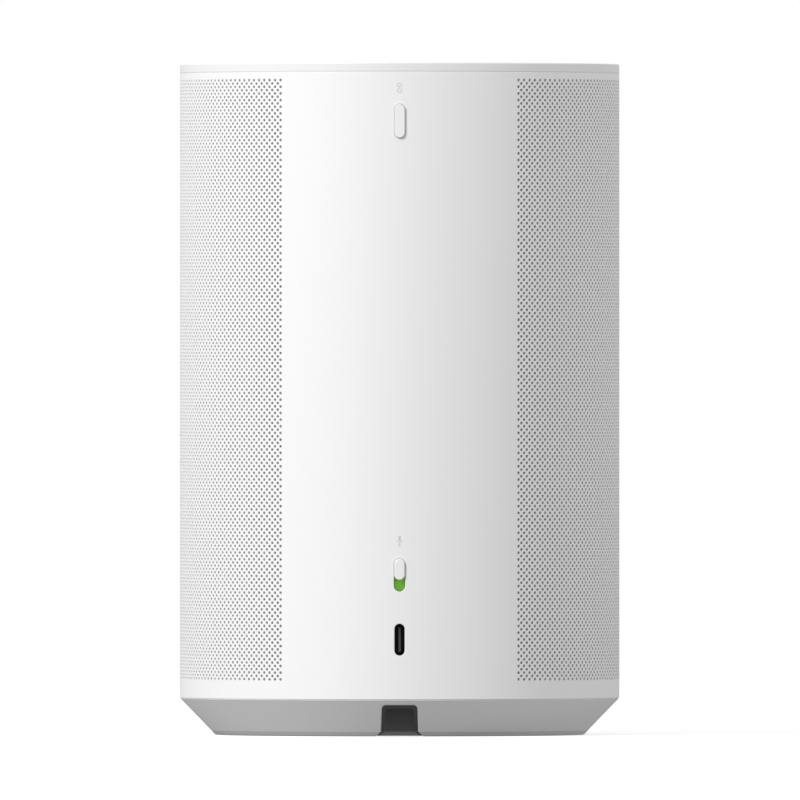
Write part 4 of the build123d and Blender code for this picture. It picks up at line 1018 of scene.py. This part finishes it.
# %% [markdown]
# ## The sloping base
#
# Below a hairline joint the base slopes inwards to the foot. It is a ruled wall all round, with
# the cord channel cut through it at the rear. The channel is an arch with rounded shoulders,
# and its edge is rolled, so that light catches it.

# %% The base's rules
SKIRT_INSET = 0.1
SLOPE = radians(44.0)
SKIRT_EDGE = 0.12
SKIRT_THICKNESS = 4.1
SPIGOT_TOP = 14.4
SPIGOT_INSET = SLEEVE_WALL + 0.4
CHANNEL_TOP = 8.6
CHANNEL_TOP_WIDTH = 9.7
CHANNEL_FOOT_WIDTH = 10.1
CHANNEL_CORNER = 1.1
CHANNEL_LIP = 0.45
LIP_HOLD = 0.06
ARCH_CLEAR = 9.0


def slope_inset(z):
    """How far the base is inside the sleeve's outer face at this height."""
    return SKIRT_INSET + (SKIRT_TOP - z) * tan(SLOPE)


def on_slope(s, z, depth=0.0):
    """A point of the sloping wall, this far inside its face."""
    return on_body(s, slope_inset(z) + depth, z)


def arch(grow):
    """The channel's outline from behind, from its right foot to its left one, grown."""
    top = CHANNEL_TOP_WIDTH / 2 + grow
    bottom = CHANNEL_FOOT_WIDTH / 2 + grow
    corner = CHANNEL_CORNER + grow
    roof = CHANNEL_TOP + grow
    shoulder = roof - corner
    right = []
    for i in range(6):
        right.append((bottom + (top - bottom) * i / 6, FOOT_TOP + (shoulder - FOOT_TOP) * i / 6))
    for i in range(7):
        turn = pi / 2 * i / 6
        right.append((top - corner * (1 - cos(turn)), shoulder + corner * sin(turn)))
    right += [((top - corner) * (1 - i / 3), roof) for i in (1, 2)]
    return right + [(0.0, roof)] + [(-x, z) for x, z in right[::-1]]


def arch_on_slope(grow, back):
    """The arch laid on the slope, and pushed this far towards the front."""
    points = []
    for x, z in arch(grow):
        reach = HALF_WIDTH - slope_inset(z)
        points.append(Vector((x, STRAIGHT / 2 + sqrt(reach**2 - x**2) - back, z)))
    return points


print("the base reaches in", round(slope_inset(FOOT_TOP), 1), "mm at the foot")

# %% The base's outline and rings
left_s = [s for s in around_s if s < -ARCH_CLEAR]
right_s = [s for s in around_s if s > ARCH_CLEAR]
skirt_rim = SKIRT_TOP - SKIRT_EDGE - HOLD
arch_start = arch_on_slope(CHANNEL_LIP + LIP_HOLD, 0.0)
arch_flat = [
    (HALF_WIDTH * atan2(point.x, point.y - STRAIGHT / 2), point.z) for point in arch_start
]
skirt_outline = (
    [(s, FOOT_TOP) for s in right_s + [HALF_ROUND]]
    + [(s, skirt_rim) for s in [HALF_ROUND] + around_s[::-1]]
    + [(s, FOOT_TOP) for s in left_s]
    + arch_flat[::-1]
)
skirt_points, skirt_faces = fill_flat(skirt_outline)


def skirt_rim_rings():
    """From the slope over the top edge, up to the sleeve, up the spigot and down inside."""
    edge = SKIRT_TOP - SKIRT_EDGE
    steps = [(slope_inset(skirt_rim), skirt_rim), (slope_inset(edge), edge)]
    for i in range(1, 4):
        turn = pi / 6 * i
        roll = SKIRT_EDGE * (1 - sin(turn))
        steps.append((SKIRT_INSET + SKIRT_EDGE * (1 - cos(turn)), SKIRT_TOP - roll))
    tongue = SLEEVE_BOTTOM - HAIRLINE
    steps += [(TONGUE_INSET + SKIRT_INSET, tongue), (SPIGOT_INSET, tongue)]
    inner = slope_inset(skirt_rim) + SKIRT_THICKNESS
    steps += [(SPIGOT_INSET, SPIGOT_TOP), (inner, SPIGOT_TOP), (inner, skirt_rim)]
    return [racetrack(inset, z) for inset, z in steps]


def lower_rings():
    """The lower edge: through the channel's arch, then round the foot and back to it."""
    arches = [arch_start]
    arches += [arch_on_slope(grow, depth) for grow, depth in rolled(CHANNEL_LIP, hold=0.0)[1:]]
    arches.append(arch_on_slope(0.0, 2.4))
    arches.append([on_slope(s, z, SKIRT_THICKNESS) for s, z in arch_flat])
    rings = []
    around = left_s[:0:-1] + [HALF_ROUND] + right_s[::-1]
    for i, points in enumerate(arches):
        depth = SKIRT_THICKNESS * i / (len(arches) - 1)
        rings.append(points + [on_slope(s, FOOT_TOP, depth) for s in around])
    return rings


print(len(skirt_points), "points in the base's wall")

# %% The sloping base
skirt = solid(
    "sloping_base",
    skirt_faces,
    [on_slope(s, z) for s, z in skirt_points],
    [on_slope(s, z, SKIRT_THICKNESS) for s, z in skirt_points],
    [skirt_rim_rings(), lower_rings()],
)
skirt.data.materials.append(Finish.made["shell_white"])
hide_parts("base_skirt")
report(skirt)

# %% [markdown]
# ## The printed marks
#
# Small grey marks say what each control does: two open rings and a bar for pairing, a
# microphone, and the usual ones for playing. They are printed, so each is a film a few
# hundredths of a millimetre thick that follows the surface under it. A mark is drawn as strokes
# on paper: a stroke is a line of points with a width.

# %% Strokes and marks
FILM = 0.012


def stroke(points, width):
    """A band of quads along flat points: their left side, then their right."""
    sides = []
    for i, (x, y) in enumerate(points):
        ax, ay = points[max(i - 1, 0)]
        bx, by = points[min(i + 1, len(points) - 1)]
        length = sqrt((bx - ax) ** 2 + (by - ay) ** 2)
        off_x = (ay - by) / length * width / 2
        off_y = (bx - ax) / length * width / 2
        sides.append(((x + off_x, y + off_y), (x - off_x, y - off_y)))
    return sides


def arc(x, y, radius, start, end, steps=14):
    """Points along an arc, in degrees."""
    turns = [radians(start + (end - start) * i / steps) for i in range(steps + 1)]
    return [(x + radius * cos(turn), y + radius * sin(turn)) for turn in turns]


def printed(name, strokes, place, rider):
    """Strokes laid on a surface by `place`, which takes x, y and height above the surface."""
    work = bmesh.new()
    for sides in strokes:
        rows = []
        for pair in sides:
            ring = [place(*pair[0], FILM), place(*pair[1], FILM)]
            ring += [place(*pair[1], -FILM), place(*pair[0], -FILM)]
            rows.append([work.verts.new(point * MM) for point in ring])
        for row, following in zip(rows, rows[1:]):
            for i in range(4):
                j = (i + 1) % 4
                work.faces.new((row[i], row[j], following[j], following[i]))
        work.faces.new(rows[0])
        work.faces.new(rows[-1][::-1])
    mark = finish_mesh(name, work, rider)
    mark.data.materials.append(Finish.made["ink_grey"])
    report(mark)


def on_rear(z):
    """Lays a flat mark on the rear strip, with its middle at this height."""
    return lambda x, y, lift: on_body(-x, -lift, z + y)


# %% The rear marks
LINK_Z = 176.6
MIC_MARK_Z = 53.4
PEN = 0.22
LINK_BAR = 0.2
MIC_HEAD = 0.62
link_mark = [
    stroke(arc(0, 0.68, 0.58, -55, 235), PEN),
    stroke(arc(0, -0.68, 0.58, 125, 415), PEN),
    stroke([(0, 0.5), (0, -0.5)], LINK_BAR),
]
mic_mark = [
    stroke([(0, -0.1), (0, 1.3)], MIC_HEAD),
    stroke(arc(0, 0.1, 0.62, 180, 360), PEN),
    stroke([(0, -0.5), (0, -1.3)], PEN),
    stroke([(-0.4, -1.35), (0.4, -1.35)], PEN),
]
printed("link_mark", link_mark, on_rear(LINK_Z), "chassis")
printed("mic_mark", mic_mark, on_rear(MIC_MARK_Z), "chassis")

# %% The marks on the touch panel
PLAY_Y = -14.0
SKIP_X = 26.0
VOICE_Y = 14.0
TOP_PEN = 0.36


def on_top(x_middle, y_middle):
    """Lays a flat mark on the touch panel, read by someone at the front."""

    def place(x, y, lift):
        spot_x, spot_y = x_middle + x, y_middle + y
        return Vector((spot_x, spot_y, PANEL_TOP - trough(spot_x, spot_y) + lift))

    return place


play_mark = [
    stroke([(-1.9, -1.6), (-1.9, 1.6)], 0.4),
    stroke([(-1.9, 1.6), (0.7, 0), (-1.9, -1.6)], 0.4),
    stroke([(1.5, -1.6), (1.5, 1.6)], 0.5),
    stroke([(2.6, -1.6), (2.6, 1.6)], 0.5),
]
skip_mark = [
    stroke([(-1.6, 1.4), (0.6, 0), (-1.6, -1.4), (-1.6, 1.4)], TOP_PEN),
    stroke([(1.4, -1.5), (1.4, 1.5)], 0.45),
]
back_mark = [[((-ax, ay), (-bx, by)) for (ax, ay), (bx, by) in band] for band in skip_mark]
bubble = arc(0, 0, 1.9, -60, 240)
voice_mark = [
    stroke(bubble, TOP_PEN),
    stroke([bubble[-1], (-1.5, -2.6), bubble[0]], TOP_PEN),
]
minus_mark = [stroke([(-1.0, 0), (1.0, 0)], TOP_PEN)]
plus_mark = minus_mark + [stroke([(0, -1.0), (0, 1.0)], TOP_PEN)]
printed("play_mark", play_mark, on_top(0.0, PLAY_Y), "chassis")
printed("skip_mark", skip_mark, on_top(SKIP_X, PLAY_Y), "chassis")
printed("back_mark", back_mark, on_top(-SKIP_X, PLAY_Y), "chassis")
printed("voice_mark", voice_mark, on_top(0.0, VOICE_Y), "chassis")
printed("plus_mark", plus_mark, on_top(SKIP_X, TROUGH_Y), "chassis")
printed("minus_mark", minus_mark, on_top(-SKIP_X, TROUGH_Y), "chassis")

# %% [markdown]
# ## Finishes for the engineering pieces
#
# The pieces inside, and the knob, foot and sockets outside, keep their engineering
# shapes. The record says which finish each one takes, and a finish here has the same name. Only
# the tongue inside the power socket takes one of its own.

# %% Paint the engineering pieces
painted = 0
for part in record["subparts"]:
    node = frame["nodes"][part["node"]]
    if not node.hide_render:
        node.data.materials.clear()
        node.data.materials.append(Finish.made[part["material_slot"]])
        painted += 1
frame["nodes"]["usb_tongue"].data.materials[0] = Finish.made["tongue_grey"]
print(painted, "engineering pieces painted")

# %% [markdown]
# ## The light
#
# A white product on white needs a wide, even sky that keeps the shadows pale, and one large
# soft lamp at the side and above, which gives the slow fall of light across the curved shell. A
# weak lamp on the other side lifts the dark edge a little. The lamps are far away, because a
# near one would light the top more than the foot, and their glints are held back, or the top
# would shine. The sky is plain white where it is seen.

# %% Sky and lamps
SKY_LIGHT = 0.67
LAMP_AWAY = 4000.0
LAMP_SIZE = 900.0
LAMP_GLOSS = 0.1

world = bpy.data.worlds.new("studio_sky")
world.use_nodes = True
bpy.context.scene.world = world
sky = Sheet(world.node_tree)
seen = sky.add("ShaderNodeLightPath", output="Is Camera Ray")
glow = world.node_tree.nodes["Background"]
world.node_tree.links.new((seen * (1.0 - SKY_LIGHT) + SKY_LIGHT).socket, glow.inputs["Strength"])
glow.inputs["Color"].default_value = (1, 1, 1, 1)


def soft_lamp(name, turn, rise, power):
    """A large soft lamp. It is turned from the rear towards +X and raised, in degrees."""
    flat = cos(radians(rise))
    towards = Vector((sin(radians(turn)) * flat, cos(radians(turn)) * flat, sin(radians(rise))))
    data = bpy.data.lights.new(name, "AREA")
    data.size = LAMP_SIZE * MM
    data.energy = power
    data.specular_factor = LAMP_GLOSS
    lamp = bpy.data.objects.new(name, data)
    lamp.location = (towards * LAMP_AWAY + Vector((0, 0, HEIGHT / 2))) * MM
    lamp.rotation_euler = towards.to_track_quat("Z", "Y").to_euler()
    bpy.context.scene.collection.objects.link(lamp)
    print(name, [round(value, 2) for value in lamp.location], "m")


soft_lamp("key_lamp", turn=46, rise=36, power=130)
soft_lamp("side_lamp", turn=-95, rise=12, power=21)
bpy.context.scene.view_settings.view_transform = "Standard"

# %% [markdown]
# ## The floor
#
# The speaker stands on a pale round floor that fades out at its edge. Real paper would bounce
# too much light up under the sloping base, so the floor is a mid grey for the light that it
# throws back, and only where it is seen directly does it glow up to paper white. The soft
# shadow under the foot still shows. From below the floor is clear, so the foot can be seen.

# %% Floor
FLOOR_RADIUS = 1.6
FADE_START = 1.1
BOUNCE_GREY = 0.17
BOUNCE_GLOW = 0.21
SEEN_GREY = 0.55
SEEN_GLOW = 0.62
FLOOR_DROP = 0.00005

floor_mesh = bpy.data.meshes.new("floor")
work = bmesh.new()
bmesh.ops.create_circle(work, cap_ends=True, segments=96, radius=FLOOR_RADIUS)
work.to_mesh(floor_mesh)
work.free()
floor = bpy.data.objects.new("floor", floor_mesh)
floor.location.z = -FLOOR_DROP
bpy.context.scene.collection.objects.link(floor)
paper = Finish("pale_floor", {"Roughness": 0.9, "Specular IOR Level": 0.0})
paper.shader.inputs["Emission Strength"].default_value = 1.0
directly = paper.add("ShaderNodeLightPath", output="Is Camera Ray")
paper.drive("Base Color", paper.blend(directly, (BOUNCE_GREY,) * 3, (SEEN_GREY,) * 3))
paper.drive("Emission Color", paper.blend(directly, (BOUNCE_GLOW,) * 3, (SEEN_GLOW,) * 3))
reach = paper.add("ShaderNodeVectorMath", {"operation": "LENGTH"}, {0: paper.place}, "Value")
fading = (FLOOR_RADIUS - reach) / (FLOOR_RADIUS - FADE_START)
from_below = paper.add("ShaderNodeNewGeometry", output="Backfacing")
paper.drive("Alpha", fading.least(1.0).most(0.0) * (1 - from_below))
floor_mesh.materials.append(paper.material)
print("floor", FLOOR_RADIUS, "m")
